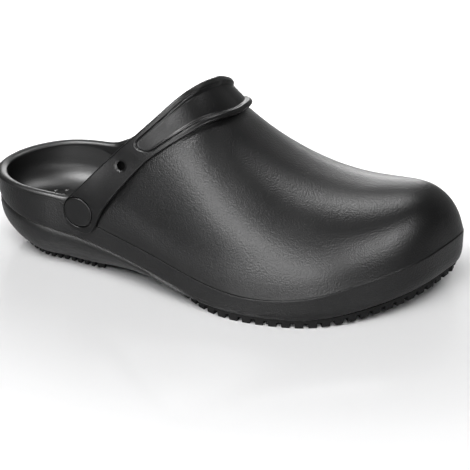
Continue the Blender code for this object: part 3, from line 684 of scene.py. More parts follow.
def upper_faces(columns, rows, lining_rows):
    """Outside and lining of the upper: grids of columns by rows, seam to collar."""
    seam = columns.seam() + SEAM_OPEN
    inset = last_inset(columns.places)
    foot = columns.ring(inset, seam)
    outside, lining = [], []
    for j in range(columns.count):
        path = wall_path(foot[j], snap(columns.collar[j]), seam[j])
        outside.append(spaced(path, rows + 1))
        lining.append(spaced(path, lining_rows + 1))
    outside, lining = np.array(outside), np.array(lining)
    lining = lining - UPPER_WALL * grid_normals(lining)
    flush = columns.ring(FLUSH_INSET, foot[:, 2]) - foot
    steps = np.linalg.norm(np.diff(outside, axis=1), axis=2)
    climbed = np.concatenate([0 * steps[:, :1], np.cumsum(steps, axis=1)], axis=1)
    fade = 1 - smooth_step(climbed, 0, FLARE_HIGH)
    outside = outside + flush[:, None, :] * fade[..., None]
    outside = outside - grid_normals(outside) * band_channel(outside)[..., None]
    for _ in range(SMOOTHING_PASSES):
        low = outside[:, 1:SMOOTHED_ROWS]
        low[...] = (low * 2 + outside[:, :SMOOTHED_ROWS - 1] + outside[:, 2:SMOOTHED_ROWS + 1]) / 4

    collar_z = columns.collar[:, 2]
    lip_in = inset + UPPER_WALL + LIP_BACK_EXTRA * columns.back
    lip_out = HEEL_LEAN - LIP_PROUD
    centre = (lip_in + lip_out) / 2
    reach = (lip_in - lip_out) / 2
    side_z = np.maximum(collar_z - LIP_ROUND, seam + PATH_CLEAR)
    low = np.linspace(0, 1, rows // 3, endpoint=False)[:, None]
    arc_inset, arc_z = ellipse_arc(centre, side_z, reach, collar_z - side_z,
                                   0, LIP_MEETS_AT[0], rows - rows // 3)
    tuck = (1 - low) ** LIP_TUCK_POWER * LIP_TUCK
    lip_inset = np.concatenate([tuck + lip_out + 0 * inset, arc_inset])
    lip_z = np.concatenate([seam + low * (side_z - seam), arc_z])
    back_count = lining_rows // 3
    back_inset, back_z = ellipse_arc(centre, side_z, reach, collar_z - side_z,
                                     LIP_MEETS_AT[1], 180, back_count)
    down = np.linspace(0, 1, lining_rows + 2 - back_count)[1:, None]
    back_inset = np.concatenate([back_inset, 0 * down + lip_in])
    back_z = np.concatenate([back_z, side_z + down * (seam - side_z)])
    lip_outside = np.stack([foot] + [columns.ring(i, z) for i, z in zip(lip_inset, lip_z)], 1)
    lip_lining = np.stack([columns.ring(i, z) for i, z in zip(back_inset, back_z)], 1)[:, ::-1]
    lip_top = columns.ring(centre, collar_z)

    weight = columns.lip[:, None, None]
    outside = weight * lip_outside + (1 - weight) * outside
    lining = weight * lip_lining + (1 - weight) * lining
    edge_out, edge_in = outside[:, -1], lining[:, -1]
    middle = (edge_out + edge_in) / 2
    top = [middle + (edge_out - middle) * math.cos(turn) + (0, 0, LIP_TOP_HIGH * math.sin(turn))
           for turn in np.radians(LIP_TOP_TURNS)]
    top = [weight[:, 0] * lip_top + (1 - weight[:, 0]) * ring for ring in top]
    return outside, lining, top


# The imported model's frame has its origin in the middle of the shoe's outline
sole_low, sole_high = (Vector(corner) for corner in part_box("midsole"))
sole_middle = (sole_low + sole_high) / 2
dense_outline = outline(np.arange(FINE) * len(STATIONS) / FINE)
outline_middle = (dense_outline.min(axis=0) + dense_outline.max(axis=0)) / 2
SHIFT = (sole_middle.x - MM * outline_middle[0], sole_middle.y - MM * outline_middle[1], 0.0)


def to_frame(point):
    """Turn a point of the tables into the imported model's frame."""
    return Vector([MM * float(value) + move for value, move in zip(point, SHIFT)])


def value_group(name, inputs, outputs):
    """Start a shader node group with float or vector sockets."""
    group = bpy.data.node_groups.new(name, "ShaderNodeTree")
    for socket, kind, default in inputs:
        made = group.interface.new_socket(name=socket, in_out="INPUT", socket_type=kind)
        if default is not None:
            made.default_value = default
    for socket, kind in outputs:
        group.interface.new_socket(name=socket, in_out="OUTPUT", socket_type=kind)
    return group


def node(tree, kind, **values):
    """Add a node and set its plain settings and the inputs named in values."""
    made = tree.nodes.new(kind)
    for key, value in values.items():
        if key in made.inputs:
            made.inputs[key].default_value = value
        else:
            setattr(made, key, value)
    return made


# Grain of the moulded foam: how far and how finely its cells are pushed about, their
# softness, size of the folds against the cells, height of cells and folds, and the
# distances from a cell's middle between which its hollow shows
GRAIN_PUSH = 0.0003
GRAIN_PUSH_SCALE = 420.0
GRAIN_SOFTNESS = 0.25
GRAIN_FOLD_SCALE = 0.7
GRAIN_CELL_HIGH = -0.9
GRAIN_FOLD_HIGH = 0.3
GRAIN_HOLLOW = (0.25, 0.7)

# Duller patches: how many a metre, roughness of their pattern and its contrast
PATCH_SCALE = 28.0
PATCH_ROUGHNESS = 0.62
PATCH_CONTRAST = (0.3, 0.7)


def grain_group():
    """Leather-like grain of the moulded foam: height, and a mask of its hollows."""
    group = value_group("moulded_grain",
                        (("Vector", "NodeSocketVector", None),
                         ("Cell", "NodeSocketFloat", 600.0)),
                        (("Height", "NodeSocketFloat"), ("Hollow", "NodeSocketFloat")))
    enter = group.nodes.new("NodeGroupInput")
    leave = group.nodes.new("NodeGroupOutput")
    link = group.links.new
    warp = node(group, "ShaderNodeTexNoise", Scale=GRAIN_PUSH_SCALE, Detail=2.0)
    link(enter.outputs["Vector"], warp.inputs["Vector"])
    shift = node(group, "ShaderNodeVectorMath", operation="MULTIPLY_ADD")
    shift.inputs[1].default_value = (GRAIN_PUSH, GRAIN_PUSH, GRAIN_PUSH)
    link(warp.outputs["Color"], shift.inputs[0])
    link(enter.outputs["Vector"], shift.inputs[2])
    cells = node(group, "ShaderNodeTexVoronoi", feature="SMOOTH_F1", Smoothness=GRAIN_SOFTNESS)
    link(shift.outputs["Vector"], cells.inputs["Vector"])
    link(enter.outputs["Cell"], cells.inputs["Scale"])
    folds = node(group, "ShaderNodeTexNoise", Detail=3.0, Roughness=0.6)
    fold_scale = node(group, "ShaderNodeMath", operation="MULTIPLY")
    fold_scale.inputs[1].default_value = GRAIN_FOLD_SCALE
    link(enter.outputs["Cell"], fold_scale.inputs[0])
    link(fold_scale.outputs["Value"], folds.inputs["Scale"])
    link(shift.outputs["Vector"], folds.inputs["Vector"])
    mix = node(group, "ShaderNodeMath", operation="MULTIPLY_ADD")
    mix.inputs[1].default_value = GRAIN_CELL_HIGH
    link(cells.outputs["Distance"], mix.inputs[0])
    soft = node(group, "ShaderNodeMath", operation="MULTIPLY")
    soft.inputs[1].default_value = GRAIN_FOLD_HIGH
    link(folds.outputs["Fac"], soft.inputs[0])
    link(soft.outputs["Value"], mix.inputs[2])
    link(mix.outputs["Value"], leave.inputs["Height"])
    hollow = node(group, "ShaderNodeMapRange")
    hollow.inputs["From Min"].default_value = GRAIN_HOLLOW[0]
    hollow.inputs["From Max"].default_value = GRAIN_HOLLOW[1]
    link(cells.outputs["Distance"], hollow.inputs["Value"])
    link(hollow.outputs["Result"], leave.inputs["Hollow"])
    return group


def handling_group():
    """Slow patches where handling and moulding leave the surface duller."""
    group = value_group("handling_patches",
                        (("Vector", "NodeSocketVector", None),
                         ("Low", "NodeSocketFloat", 0.4), ("High", "NodeSocketFloat", 0.5)),
                        (("Roughness", "NodeSocketFloat"),))
    enter = group.nodes.new("NodeGroupInput")
    leave = group.nodes.new("NodeGroupOutput")
    link = group.links.new
    patches = node(group, "ShaderNodeTexNoise", Scale=PATCH_SCALE, Detail=4.0,
                   Roughness=PATCH_ROUGHNESS)
    link(enter.outputs["Vector"], patches.inputs["Vector"])
    spread = node(group, "ShaderNodeMapRange")
    spread.inputs["From Min"].default_value = PATCH_CONTRAST[0]
    spread.inputs["From Max"].default_value = PATCH_CONTRAST[1]
    link(patches.outputs["Fac"], spread.inputs["Value"])
    link(enter.outputs["Low"], spread.inputs["To Min"])
    link(enter.outputs["High"], spread.inputs["To Max"])
    link(spread.outputs["Result"], leave.inputs["Roughness"])
    return group


GRAIN = grain_group()
PATCHES = handling_group()

# Finishes: name, colour, lighter colour in the hollows, roughness low and high,
# specular level, grain cells a metre, bump strength, bump depth in metres
FINISHES = (
    ("upper_skin", (0.0030, 0.0030, 0.0032), (0.0045, 0.0045, 0.0047),
     0.32, 0.37, 0.25, 1050.0, 0.9, 0.00012),
    ("lining_skin", (0.0035, 0.0035, 0.0037), (0.0045, 0.0045, 0.0047),
     0.38, 0.45, 0.31, 1300.0, 0.5, 0.00008),
    ("band_skin", (0.0030, 0.0030, 0.0032), (0.0040, 0.0040, 0.0042),
     0.31, 0.37, 0.18, 1100.0, 0.6, 0.00010),
    ("sole_skin", (0.0032, 0.0032, 0.0034), (0.0045, 0.0045, 0.0047),
     0.36, 0.43, 0.23, 950.0, 0.9, 0.00018),
    ("footbed_skin", (0.0040, 0.0040, 0.0042), (0.0050, 0.0050, 0.0052),
     0.40, 0.47, 0.31, 1200.0, 0.5, 0.00008),
    ("tread_skin", (0.0020, 0.0020, 0.0021), (0.0032, 0.0032, 0.0033),
     0.55, 0.68, 0.12, 900.0, 0.6, 0.00010),
    ("button_skin", (0.0030, 0.0030, 0.0032), (0.0038, 0.0038, 0.0040),
     0.31, 0.37, 0.22, 1400.0, 0.5, 0.00007),
    # Near-black, dull finish: painted shade inside the band's small holes
    ("hole_painted_shade", (0.0008, 0.0008, 0.0008), (0.0010, 0.0010, 0.0010),
     0.80, 0.90, 0.03, 900.0, 0.2, 0.00005),
)


def finish_material(name, colour, hollow_colour, low, high, specular, cell, strength, depth):
    """Moulded black foam or rubber with grain in its bump, colour and gloss."""
    made = bpy.data.materials.new(name)
    made.use_nodes = True
    tree = made.node_tree
    link = tree.links.new
    shader = tree.nodes["Principled BSDF"]
    shader.inputs["Specular IOR Level"].default_value = specular
    place = tree.nodes.new("ShaderNodeTexCoord")
    grain = tree.nodes.new("ShaderNodeGroup")
    grain.node_tree = GRAIN
    grain.inputs["Cell"].default_value = cell
    link(place.outputs["Object"], grain.inputs["Vector"])
    mix = node(tree, "ShaderNodeMix", data_type="RGBA")
    plain, hollow = (socket for socket in mix.inputs if socket.type == "RGBA")
    plain.default_value = (*colour, 1)
    hollow.default_value = (*hollow_colour, 1)
    link(grain.outputs["Hollow"], mix.inputs["Factor"])
    mixed = next(socket for socket in mix.outputs if socket.type == "RGBA")
    link(mixed, shader.inputs["Base Color"])
    patches = tree.nodes.new("ShaderNodeGroup")
    patches.node_tree = PATCHES
    patches.inputs["Low"].default_value = low
    patches.inputs["High"].default_value = high
    link(place.outputs["Object"], patches.inputs["Vector"])
    link(patches.outputs["Roughness"], shader.inputs["Roughness"])
    bump = node(tree, "ShaderNodeBump", Strength=strength, Distance=depth)
    link(grain.outputs["Height"], bump.inputs["Height"])
    link(bump.outputs["Normal"], shader.inputs["Normal"])
    return made


SKINS = {row[0]: finish_material(*row) for row in FINISHES}


def finish_piece(name, mesh_data, skin, replaced, sharp):
    """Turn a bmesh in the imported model's frame into a finished piece riding on the shoe."""
    mesh = bpy.data.meshes.new(name)
    mesh_data.to_mesh(mesh)
    mesh_data.free()
    mesh.shade_smooth()
    mesh.set_sharp_from_angle(angle=math.radians(sharp))
    for each in skin:
        mesh.materials.append(SKINS[each])
    piece = bpy.data.objects.new(name, mesh)
    bpy.context.scene.collection.objects.link(piece)
    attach(piece, "root")
    if replaced:
        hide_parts(replaced)
    return piece


def add_piece(name, mesh_data, skin, replaced, sharp):
    """Finish a piece whose bmesh is in the tables' millimetres, its faces turned outwards."""
    for vert in mesh_data.verts:
        vert.co = to_frame(vert.co)
    if mesh_data.calc_volume(signed=True) < 0:
        bmesh.ops.reverse_faces(mesh_data, faces=mesh_data.faces)
    return finish_piece(name, mesh_data, skin, replaced, sharp)


def loft(mesh_data, rings):
    """Lay a grid over closed rings of points, and return its rows of vertices and of faces."""
    rings = np.array(rings)
    rings = np.concatenate([rings, rings[:, :1]], axis=1)
    rows, columns = rings.shape[:2]
    verts = bmesh.ops.create_grid(mesh_data, x_segments=columns - 1, y_segments=rows - 1,
                                  size=1.0)["verts"]
    for vert, point in zip(verts, rings.reshape(-1, 3)):
        vert.co = point
    faces = mesh_data.faces[:]
    return ([verts[k:k + columns] for k in range(0, len(verts), columns)],
            [faces[k:k + columns - 1] for k in range(0, len(faces), columns - 1)])


def join_grid(mesh_data):
    """Merge the edges of a grid that lie on each other."""
    bmesh.ops.remove_doubles(mesh_data, verts=mesh_data.verts, dist=GRID_MERGE)


def fill_ends(mesh_data):
    """Close the open ends of a joined grid."""
    rims = [edge for edge in mesh_data.edges if edge.is_boundary]
    bmesh.ops.holes_fill(mesh_data, edges=rims, sides=0)
    bmesh.ops.recalc_face_normals(mesh_data, faces=mesh_data.faces)


def zip_faces(mesh_data, ring):
    """Close a ring from side to side, outer column j to its partner on the inner side."""
    ring = ring[:-1]
    count = len(ring)
    for j in range(count // 2):
        corners = [ring[j], ring[j + 1], ring[count - j - 1], ring[(count - j) % count]]
        mesh_data.faces.new(dict.fromkeys(corners))


def towards_middle(ring, share, z_of):
    """Move a ring towards the shoe's long middle line and read its new height."""
    half = len(ring) // 2
    partner = np.roll(ring[::-1], 1, axis=0)
    low_x = ring[0, 0] + MIDDLE_FROM_HEEL
    high_x = ring[half, 0] - MIDDLE_FROM_TOE
    middle_x = np.clip((ring[:, 0] + partner[:, 0]) / 2, low_x, high_x)
    middle_y = (ring[:, 1] + partner[:, 1]) / 2
    order = np.argsort(middle_x[1:half]) + 1
    middle_y[0] = middle_y[order[0]]
    middle_y[half] = middle_y[order[-1]]
    moved = ring.copy()
    moved[:, 0] += share * (middle_x - ring[:, 0])
    moved[:, 1] += share * (middle_y - ring[:, 1])
    moved[:, 2] = z_of(moved[:, 0])
    return moved


def closed_shell(rings):
    """Body of rings of points, closed from side to side at its first and last ring."""
    mesh_data = bmesh.new()
    verts, _ = loft(mesh_data, rings)
    zip_faces(mesh_data, verts[0])
    zip_faces(mesh_data, verts[-1])
    join_grid(mesh_data)
    bmesh.ops.recalc_face_normals(mesh_data, faces=mesh_data.faces)
    return mesh_data


def make_upper(columns):
    """Hollow shell of the upper, open at the collar and underneath."""
    outside, lining, top = upper_faces(columns, VAMP_ROWS, LINING_ROWS)
    lean = columns.value(CUP_LEAN)
    inset = last_inset(columns.places)
    seam = columns.seam()
    bottom_out = columns.ring(inset + lean, lambda x: floor_of_cup(x) + GAP)
    bottom_in = columns.ring(inset + lean + UPPER_WALL, lambda x: floor_of_cup(x) + GAP)
    bed = bottom_in[:, 2] + INSOLE_THICK
    radius = np.clip(seam - bed - FILLET_BELOW_SEAM, FILLET_SMALLEST, FILLET_RADIUS)
    side = inset + FILLET_LEAN * lean + UPPER_WALL
    fillet = [columns.ring(side + radius * (1 - math.cos(turn)),
                           bed + FILLET_OVER_BED + radius * (1 - math.sin(turn)))
              for turn in np.radians(FILLET_TURNS)]
    fillet.append(columns.ring(side + radius, bed - FILLET_INTO_BED))
    shoulder = columns.ring(inset, seam - SHOULDER_DOWN)
    rings = [bottom_out, shoulder]
    rings += [outside[:, k] for k in range(outside.shape[1])]
    rings += top
    rings += [lining[:, k] for k in range(lining.shape[1])][::-1]
    rings += fillet + [bottom_in]
    mesh_data = bmesh.new()
    _, faces = loft(mesh_data, rings + rings[:1])
    for k, row in enumerate(faces):
        inside = k >= 1 + outside.shape[1]
        for face, lip in zip(row, columns.lip):
            face.material_index = 1 if inside or lip > LIP_SMOOTH_FROM else 0
    join_grid(mesh_data)
    return add_piece("upper_shell", mesh_data, ("upper_skin", "lining_skin"),
                     "upper", SOFT_ANGLE)


def make_sole(columns):
    """Foam cup: floor, wall up to the seam, grooved side and tapered heel block."""
    step, edge = (columns.value(k) for k in (STEP, EDGE))
    seam = columns.seam()
    edge_inset = columns.value(EDGE_INSET)
    depth = np.maximum(columns.value(STEP_DEPTH), 0)
    wall, lean = columns.value(CUP_WALL), columns.value(CUP_LEAN)
    block = step - edge
    grooved = depth / depth.max()
    heel_lean = HEEL_LEAN * columns.lip
    tuck = HEEL_TUCK * columns.back
    floor_ring = columns.ring(wall + lean, floor_of_cup)
    rings = [
        towards_middle(floor_ring, MIDDLE_SHARE, floor_of_cup),
        floor_ring,
        columns.ring(wall, seam - RIM_SEAT),
        columns.ring(wall - RIM_INNER, seam),
        columns.ring(np.minimum(RIM_GROOVE_INSET, wall - THINNEST) + heel_lean,
                     seam - RIM[0][1]),
    ]
    rings += [columns.ring(inset + heel_lean, seam - down) for inset, down in RIM]

    # The wall from the rim down to the groove
    top_z = seam - RIM[-1][1]
    low_z = step + WALL_END
    for share in np.linspace(0, 1, WALL_STEPS + 1)[1:]:
        bulge = WALL_BULGE * math.sin(math.pi * share) * columns.lip
        inset = heel_lean * (1 - share) ** WALL_LEAN_POWER - bulge + tuck * share
        rings.append(columns.ring(inset, top_z + share * (low_z - top_z)))
    rings += [columns.ring(tuck + of_full * grooved + of_depth * depth, step + up)
              for of_full, of_depth, up in GROOVE]

    # The block below the groove: a soft outward belly that turns under
    top_inset = depth * BLOCK_TOP_INSET
    for share in np.linspace(BLOCK_FROM, 1, BLOCK_STEPS):
        turn = share * math.pi / 2
        inset = top_inset + (edge_inset - top_inset) * (1 - math.cos(turn)) ** BLOCK_INSET_POWER
        inset = inset + tuck * (1 - share) ** 2
        down = (block - BLOCK_TOP_DOWN) * math.sin(turn) ** BLOCK_DOWN_POWER
        rings.append(columns.ring(inset, step - BLOCK_TOP_DOWN - down))
    under_ring = columns.ring(edge_inset + UNDER_INSETS[1], sole_under)
    rings += [columns.ring(edge_inset + UNDER_INSETS[0],
                           (edge + sole_under(columns.x)) / 2 - UNDER_ROUND),
              under_ring, towards_middle(under_ring, MIDDLE_SHARE, sole_under)]
    return add_piece("sole_cup", closed_shell(rings), ("sole_skin",), "midsole",
                     EDGE_ANGLE)


def make_footbed(columns):
    """Footbed that lies in the cup, dished under the heel; its nubs are made as a piece of their
    own.
    """
    side = last_inset(columns.places) + columns.value(CUP_LEAN) + UPPER_WALL + INSOLE_SIDE_GAP

    def at(height):
        return lambda x: floor_of_cup(x) + GAP + height

    base = columns.ring(side, at(0))
    rings = [towards_middle(base, MIDDLE_SHARE, at(0)), base]
    front = smooth_step(columns.x, *FOOTBED_FRONT)
    for inwards, height, rise in FOOTBED_RIM:
        level = at(height)
        plan = outline(columns.places, side + inwards)
        rings.append(np.column_stack([plan, level(plan[:, 0]) + rise * front]))
    rim = rings[-1]
    rings += [towards_middle(rim, share, at(INSOLE_THICK)) for share in FOOTBED_SHARES]
    return add_piece("footbed", closed_shell(rings), ("footbed_skin",), "insole",
                     SOFT_ANGLE)


def make_nubs():
    """Soft nubs moulded into the footbed round the heel."""
    mesh_data = bmesh.new()
    for x in np.arange(*NUB_X, NUB_PITCH):
        for y in np.arange(*NUB_Y, NUB_PITCH):
            shifted_y = y + (NUB_PITCH / 2 if round(x / NUB_PITCH) % 2 else 0)
            z = float(floor_of_cup(x)) + GAP + INSOLE_THICK
            dome = bmesh.ops.create_uvsphere(mesh_data, u_segments=10, v_segments=6,
                                             radius=NUB_RADIUS)["verts"]
            bmesh.ops.scale(mesh_data, vec=(1, 1, NUB_HIGH / NUB_RADIUS), verts=dome)
            bmesh.ops.translate(mesh_data, vec=(x, shifted_y, z), verts=dome)
    return add_piece("footbed_nubs", mesh_data, ("footbed_skin",), None, NUB_ANGLE)


def wall_offset(points):
    """How far off the last the band lies, where its end rides on the sole's wall."""
    x, y, z = (points[..., k] for k in range(3))
    crest_y = section(x)[0]
    outer, inner = (np.interp(x, side[:, 0], side[:, 1]) for _, side in SOLE_SIDES)
    to_wall = np.where(y < crest_y, y - outer, inner - y)
    on_wall = 1 - smooth_step(z - open_spline(BAND_ON_WALL, x), 0, BAND_SLOPE_HIGH)
    return BAND_INNER_GAP + on_wall * (np.maximum(to_wall, 0) + LIP_PROUD)


def band_base(place, share):
    """Point of the last under the band, and the band's thickness there."""
    table = band_edges()
    rear_x, rear_angle, front_x, front_angle, rear_thick, front_thick = (
        open_spline(table, place, k) for k in range(1, 7))
    x = rear_x + share * (front_x - rear_x)
    base = last_point(x, rear_angle + share * (front_angle - rear_angle))
    return base, rear_thick + share * (front_thick - rear_thick)


def on_both_sides(x, angle):
    """Points of the last at a girth angle, outer and inner side, with their directions."""
    points = [last_point(np.array(x), turn) for turn in (angle, 180 - angle)]
    return [(point, last_normal(point)) for point in points]


def hole_points():
    """Points of the last under the band's two small holes, with their directions."""
    return on_both_sides(*HOLE_PLACE)


def button_points():
    """Points of the last under the middle of the two buttons, with their directions."""
    x, z = BUTTON_PLACE
    _, _, _, foot, high = section(np.array(x))
    angle = math.degrees(math.asin(((z - foot) / high) ** (TOP_POWER / 2)))
    return on_both_sides(x, angle)


def radial_from(points, centre, axis):
    """Distance of points from an axis through a centre."""
    away = points - centre
    depth = away @ axis
    radius = np.linalg.norm(away - depth[..., None] * axis, axis=-1)
    return np.where(np.abs(depth) < SIDE_REACH, radius, FAR_AWAY)


def band_relief(places, base, thick, from_rear, width):
    """How far each point of the band's skin lies below its full thickness."""
    table = band_edges()
    last_row = len(table) - 1

    # Rounded edges
    run = lengths(base[:, BAND_ACROSS // 2])
    height = np.zeros_like(thick)
    for away, radius in ((from_rear, BAND_EDGE_ROUND),
                         (width - from_rear, BAND_EDGE_ROUND * BAND_FRONT_ROUND)):
        radius = np.minimum(radius, BAND_ROUND_OF_THICK * thick)
        into = np.clip(1 - away / radius, 0, 1)
        height += radius * (1 - np.sqrt(1 - into ** 2))
    end_away = np.minimum(run, run[-1] - run)[:, None]
    into_end = np.clip(1 - end_away / BAND_END_ROUND, 0, 1)
    height += BAND_END_DROP * (1 - np.sqrt(1 - into_end ** 2))

    # Sunk panel with a rounded end on each side, and the groove drawn round it
    panel_depth = np.interp(places, table[:, 0], table[:, 7])[:, None]
    front_ridge = PANEL_FRONT_RIDGE - PANEL_RIDGE_THINNER * (panel_depth / table[:, 7].max())
    half = (width - PANEL_REAR_RIDGE - front_ridge) / 2
    off_centre = from_rear - PANEL_REAR_RIDGE - half
    ends = [np.interp(row, places, run) for row in (PANEL_END, last_row - PANEL_END)]
    from_end = np.minimum(run - ends[0], ends[1] - run)[:, None]
    beyond = half - from_end
    outside = np.where(beyond > 0, np.hypot(off_centre, np.maximum(beyond, 0)) - half,
                       np.abs(off_centre) - half)
    height += panel_depth * smooth_step(-outside, 0.0, PANEL_SLOPE)
    from_crest = np.abs(places - last_row / 2)[:, None]
    drawn = GROOVE_DEPTH * smooth_step(from_crest, *GROOVE_FADE)
    height += drawn * np.exp(-(outside / GROOVE_HALF_WIDTH) ** 2)

    # Dished rims of the small holes and seats of the buttons
    for centre, axis in hole_points():
        away = radial_from(base, centre, axis)
        start, end = (HOLE_RADIUS + past for past in HOLE_DISH_ENDS)
        height += HOLE_DISH * (1 - smooth_step(away, start, end))
    for centre, axis in button_points():
        away = radial_from(base, centre, axis)
        start, end = (BUTTON_RADIUS + past for past in BUTTON_SEAT_ROUND)
        height += BUTTON_SEAT_DEPTH * (1 - smooth_step(away, start, end))
    return height


def make_band():
    """Raised band over the instep with rounded edges, outlined panel, holes and seats."""
    places = np.linspace(0, len(band_edges()) - 1, BAND_ALONG)
    share = (1 - np.cos(np.linspace(0, math.pi, BAND_ACROSS))) / 2
    share = BAND_CROWDING * share + (1 - BAND_CROWDING) * np.linspace(0, 1, BAND_ACROSS)
    place_grid, share_grid = np.meshgrid(places, share, indexing="ij")
    base, thick = band_base(place_grid, share_grid)
    width = np.array([lengths(row)[-1] for row in base])[:, None]
    height = band_relief(places, base, thick, share_grid * width, width)
    normal = last_normal(base)
    under = wall_offset(base)
    outer = base + normal * (under + thick - height)[..., None]
    inner_rows = []
    for row in BAND_INNER_SHARES:
        share_there = row * (1 - 2 * BAND_INNER_INSET) + BAND_INNER_INSET
        point, _ = band_base(places, np.full(BAND_ALONG, share_there))
        undercut = BAND_FRONT_UNDERCUT * row ** 3
        inner_rows.append(point + last_normal(point) * (wall_offset(point) + undercut)[:, None])
    rings = np.concatenate([np.stack(inner_rows, 1), outer], axis=1)
    mesh_data = bmesh.new()
    loft(mesh_data, rings)
    join_grid(mesh_data)
    fill_ends(mesh_data)
    # Second finish: painted shade on the walls of the small holes
    band = add_piece("instep_band_skin", mesh_data, ("band_skin", "hole_painted_shade"),
                     "instep_band", EDGE_ANGLE)
    for centre, axis in hole_points():
        cut_hole(band, centre, axis)
    make_hole_shade_plugs()
    return band


def make_hole_shade_plugs():
    """Near-black plugs in the band's two small holes: painted shade where the holes look dark."""
    mesh_data = bmesh.new()
    for centre, axis in hole_points():
        verts = bmesh.ops.create_cone(mesh_data, cap_ends=True, segments=32,
                                      radius1=HOLE_RADIUS - HOLE_SHADE_PLUG_GAP,
                                      radius2=HOLE_RADIUS - HOLE_SHADE_PLUG_GAP,
                                      depth=HOLE_SHADE_PLUG_HIGH)["verts"]
        turn = Vector(axis).to_track_quat("Z", "Y").to_matrix().to_4x4()
        place = Matrix.Translation(Vector(centre + HOLE_SHADE_PLUG_HIGH * 0.5 * axis))
        bmesh.ops.transform(mesh_data, matrix=place @ turn, verts=verts)
    return add_piece("hole_shade_plugs", mesh_data, ("hole_painted_shade",), None, NUB_ANGLE)


def cut_hole(piece, centre, axis):
    """Cut a round hole through a piece, give its wall the second finish, and keep the result as its
    own mesh.
    """
    mesh_data = bmesh.new()
    bmesh.ops.create_cone(mesh_data, cap_ends=True, segments=40, radius1=HOLE_RADIUS * MM,
                          radius2=HOLE_RADIUS * MM, depth=HOLE_CUT_LONG * MM)
    turn = Vector(axis).to_track_quat("Z", "Y").to_matrix().to_4x4()
    bmesh.ops.transform(mesh_data, matrix=Matrix.Translation(to_frame(centre)) @ turn,
                        verts=mesh_data.verts)
    mesh = bpy.data.meshes.new("hole_cutter")
    mesh_data.to_mesh(mesh)
    mesh_data.free()
    cutter = bpy.data.objects.new("hole_cutter", mesh)
    bpy.context.scene.collection.objects.link(cutter)
    cut = piece.modifiers.new("hole", "BOOLEAN")
    cut.operation = "DIFFERENCE"
    cut.solver = "EXACT"
    cut.object = cutter
    evaluated = piece.evaluated_get(bpy.context.evaluated_depsgraph_get())
    done = bpy.data.meshes.new_from_object(evaluated)
    piece.modifiers.clear()
    piece.data = done
    done.shade_smooth()
    done.set_sharp_from_angle(angle=math.radians(EDGE_ANGLE))
    middle, direction = to_frame(centre), Vector(axis)
    # The hole's wall takes the second finish: near-black painted shade
    for face in done.polygons:
        away = face.center - middle
        deep = away.dot(direction)
        if abs(deep) < SIDE_REACH * MM and (away - deep * direction).length < HOLE_RADIUS * MM:
            face.material_index = 1
    bpy.data.objects.remove(cutter)


def make_button(name, node_name, place, band):
    """Round cap let into the end of the band, following the band's curve."""
    centre, axis = place
    middle, direction = to_frame(centre), Vector(axis)
    mesh_data = bmesh.new()
    profile = [(radius, 0.0) for radius in BUTTON_RINGS]
    profile += [(BUTTON_RADIUS - BUTTON_ROUND * (1 - math.sin(turn)),
                 BUTTON_ROUND * (math.cos(turn) - 1)) for turn in np.radians(BUTTON_ROUND_TURNS)]
    profile.append((BUTTON_RADIUS, -BUTTON_THICK))
    start = [mesh_data.verts.new((radius * MM, 0, high * MM)) for radius, high in profile]
    for first, second in zip(start, start[1:]):
        mesh_data.edges.new((first, second))
    bmesh.ops.spin(mesh_data, geom=start + list(mesh_data.edges), cent=(0, 0, 0),
                   axis=(0, 0, 1), angle=2 * math.pi, steps=BUTTON_STEPS, use_merge=True)
    bmesh.ops.remove_doubles(mesh_data, verts=mesh_data.verts, dist=BUTTON_MERGE * MM)
    fill_ends(mesh_data)
    surface = BVHTree.FromObject(band, bpy.context.evaluated_depsgraph_get())
    turn = direction.to_track_quat("Z", "Y").to_matrix()
    for vert in mesh_data.verts:
        radius = math.hypot(vert.co.x, vert.co.y) / MM
        high = vert.co.z
        foot = middle + turn @ Vector((vert.co.x, vert.co.y, 0))
        hit = surface.ray_cast(foot + direction * BUTTON_LOOK_FROM * MM, -direction,
                               BUTTON_LOOK_TO * MM)[0]
        level = (hit - middle).dot(direction) if hit else BUTTON_UNFOUND * MM
        dome = BUTTON_DOME * (1 - (radius / BUTTON_RADIUS) ** 2)
        lift_by = level + (BUTTON_SEAT_DEPTH + BUTTON_CLEAR + dome) * MM + high
        vert.co = foot + direction * lift_by
    return finish_piece(name, mesh_data, ("button_skin",), node_name,
                        EDGE_ANGLE)


def add_lug(mesh_data, x, y, heading, long, deep):
    """One block lug: its outer face passes through x, y and it reaches inwards by deep."""
    verts = bmesh.ops.create_cube(mesh_data, size=1.0)["verts"]
    inwards = (-heading[1], heading[0])
    for vert in verts:
        ahead, reach, high = vert.co.x * long, (vert.co.y + 0.5) * deep, vert.co.z + 0.5
        taper = 1 - LUG_TAPER * (1 - high)
        ahead *= taper
        place_x = x + heading[0] * ahead + inwards[0] * reach
        place_y = y + heading[1] * ahead + inwards[1] * reach
        up = high * (LUG_HIGH + LUG_INTO_PLATE)
        vert.co = (place_x, place_y, float(lift(place_x)) + up)
    return verts


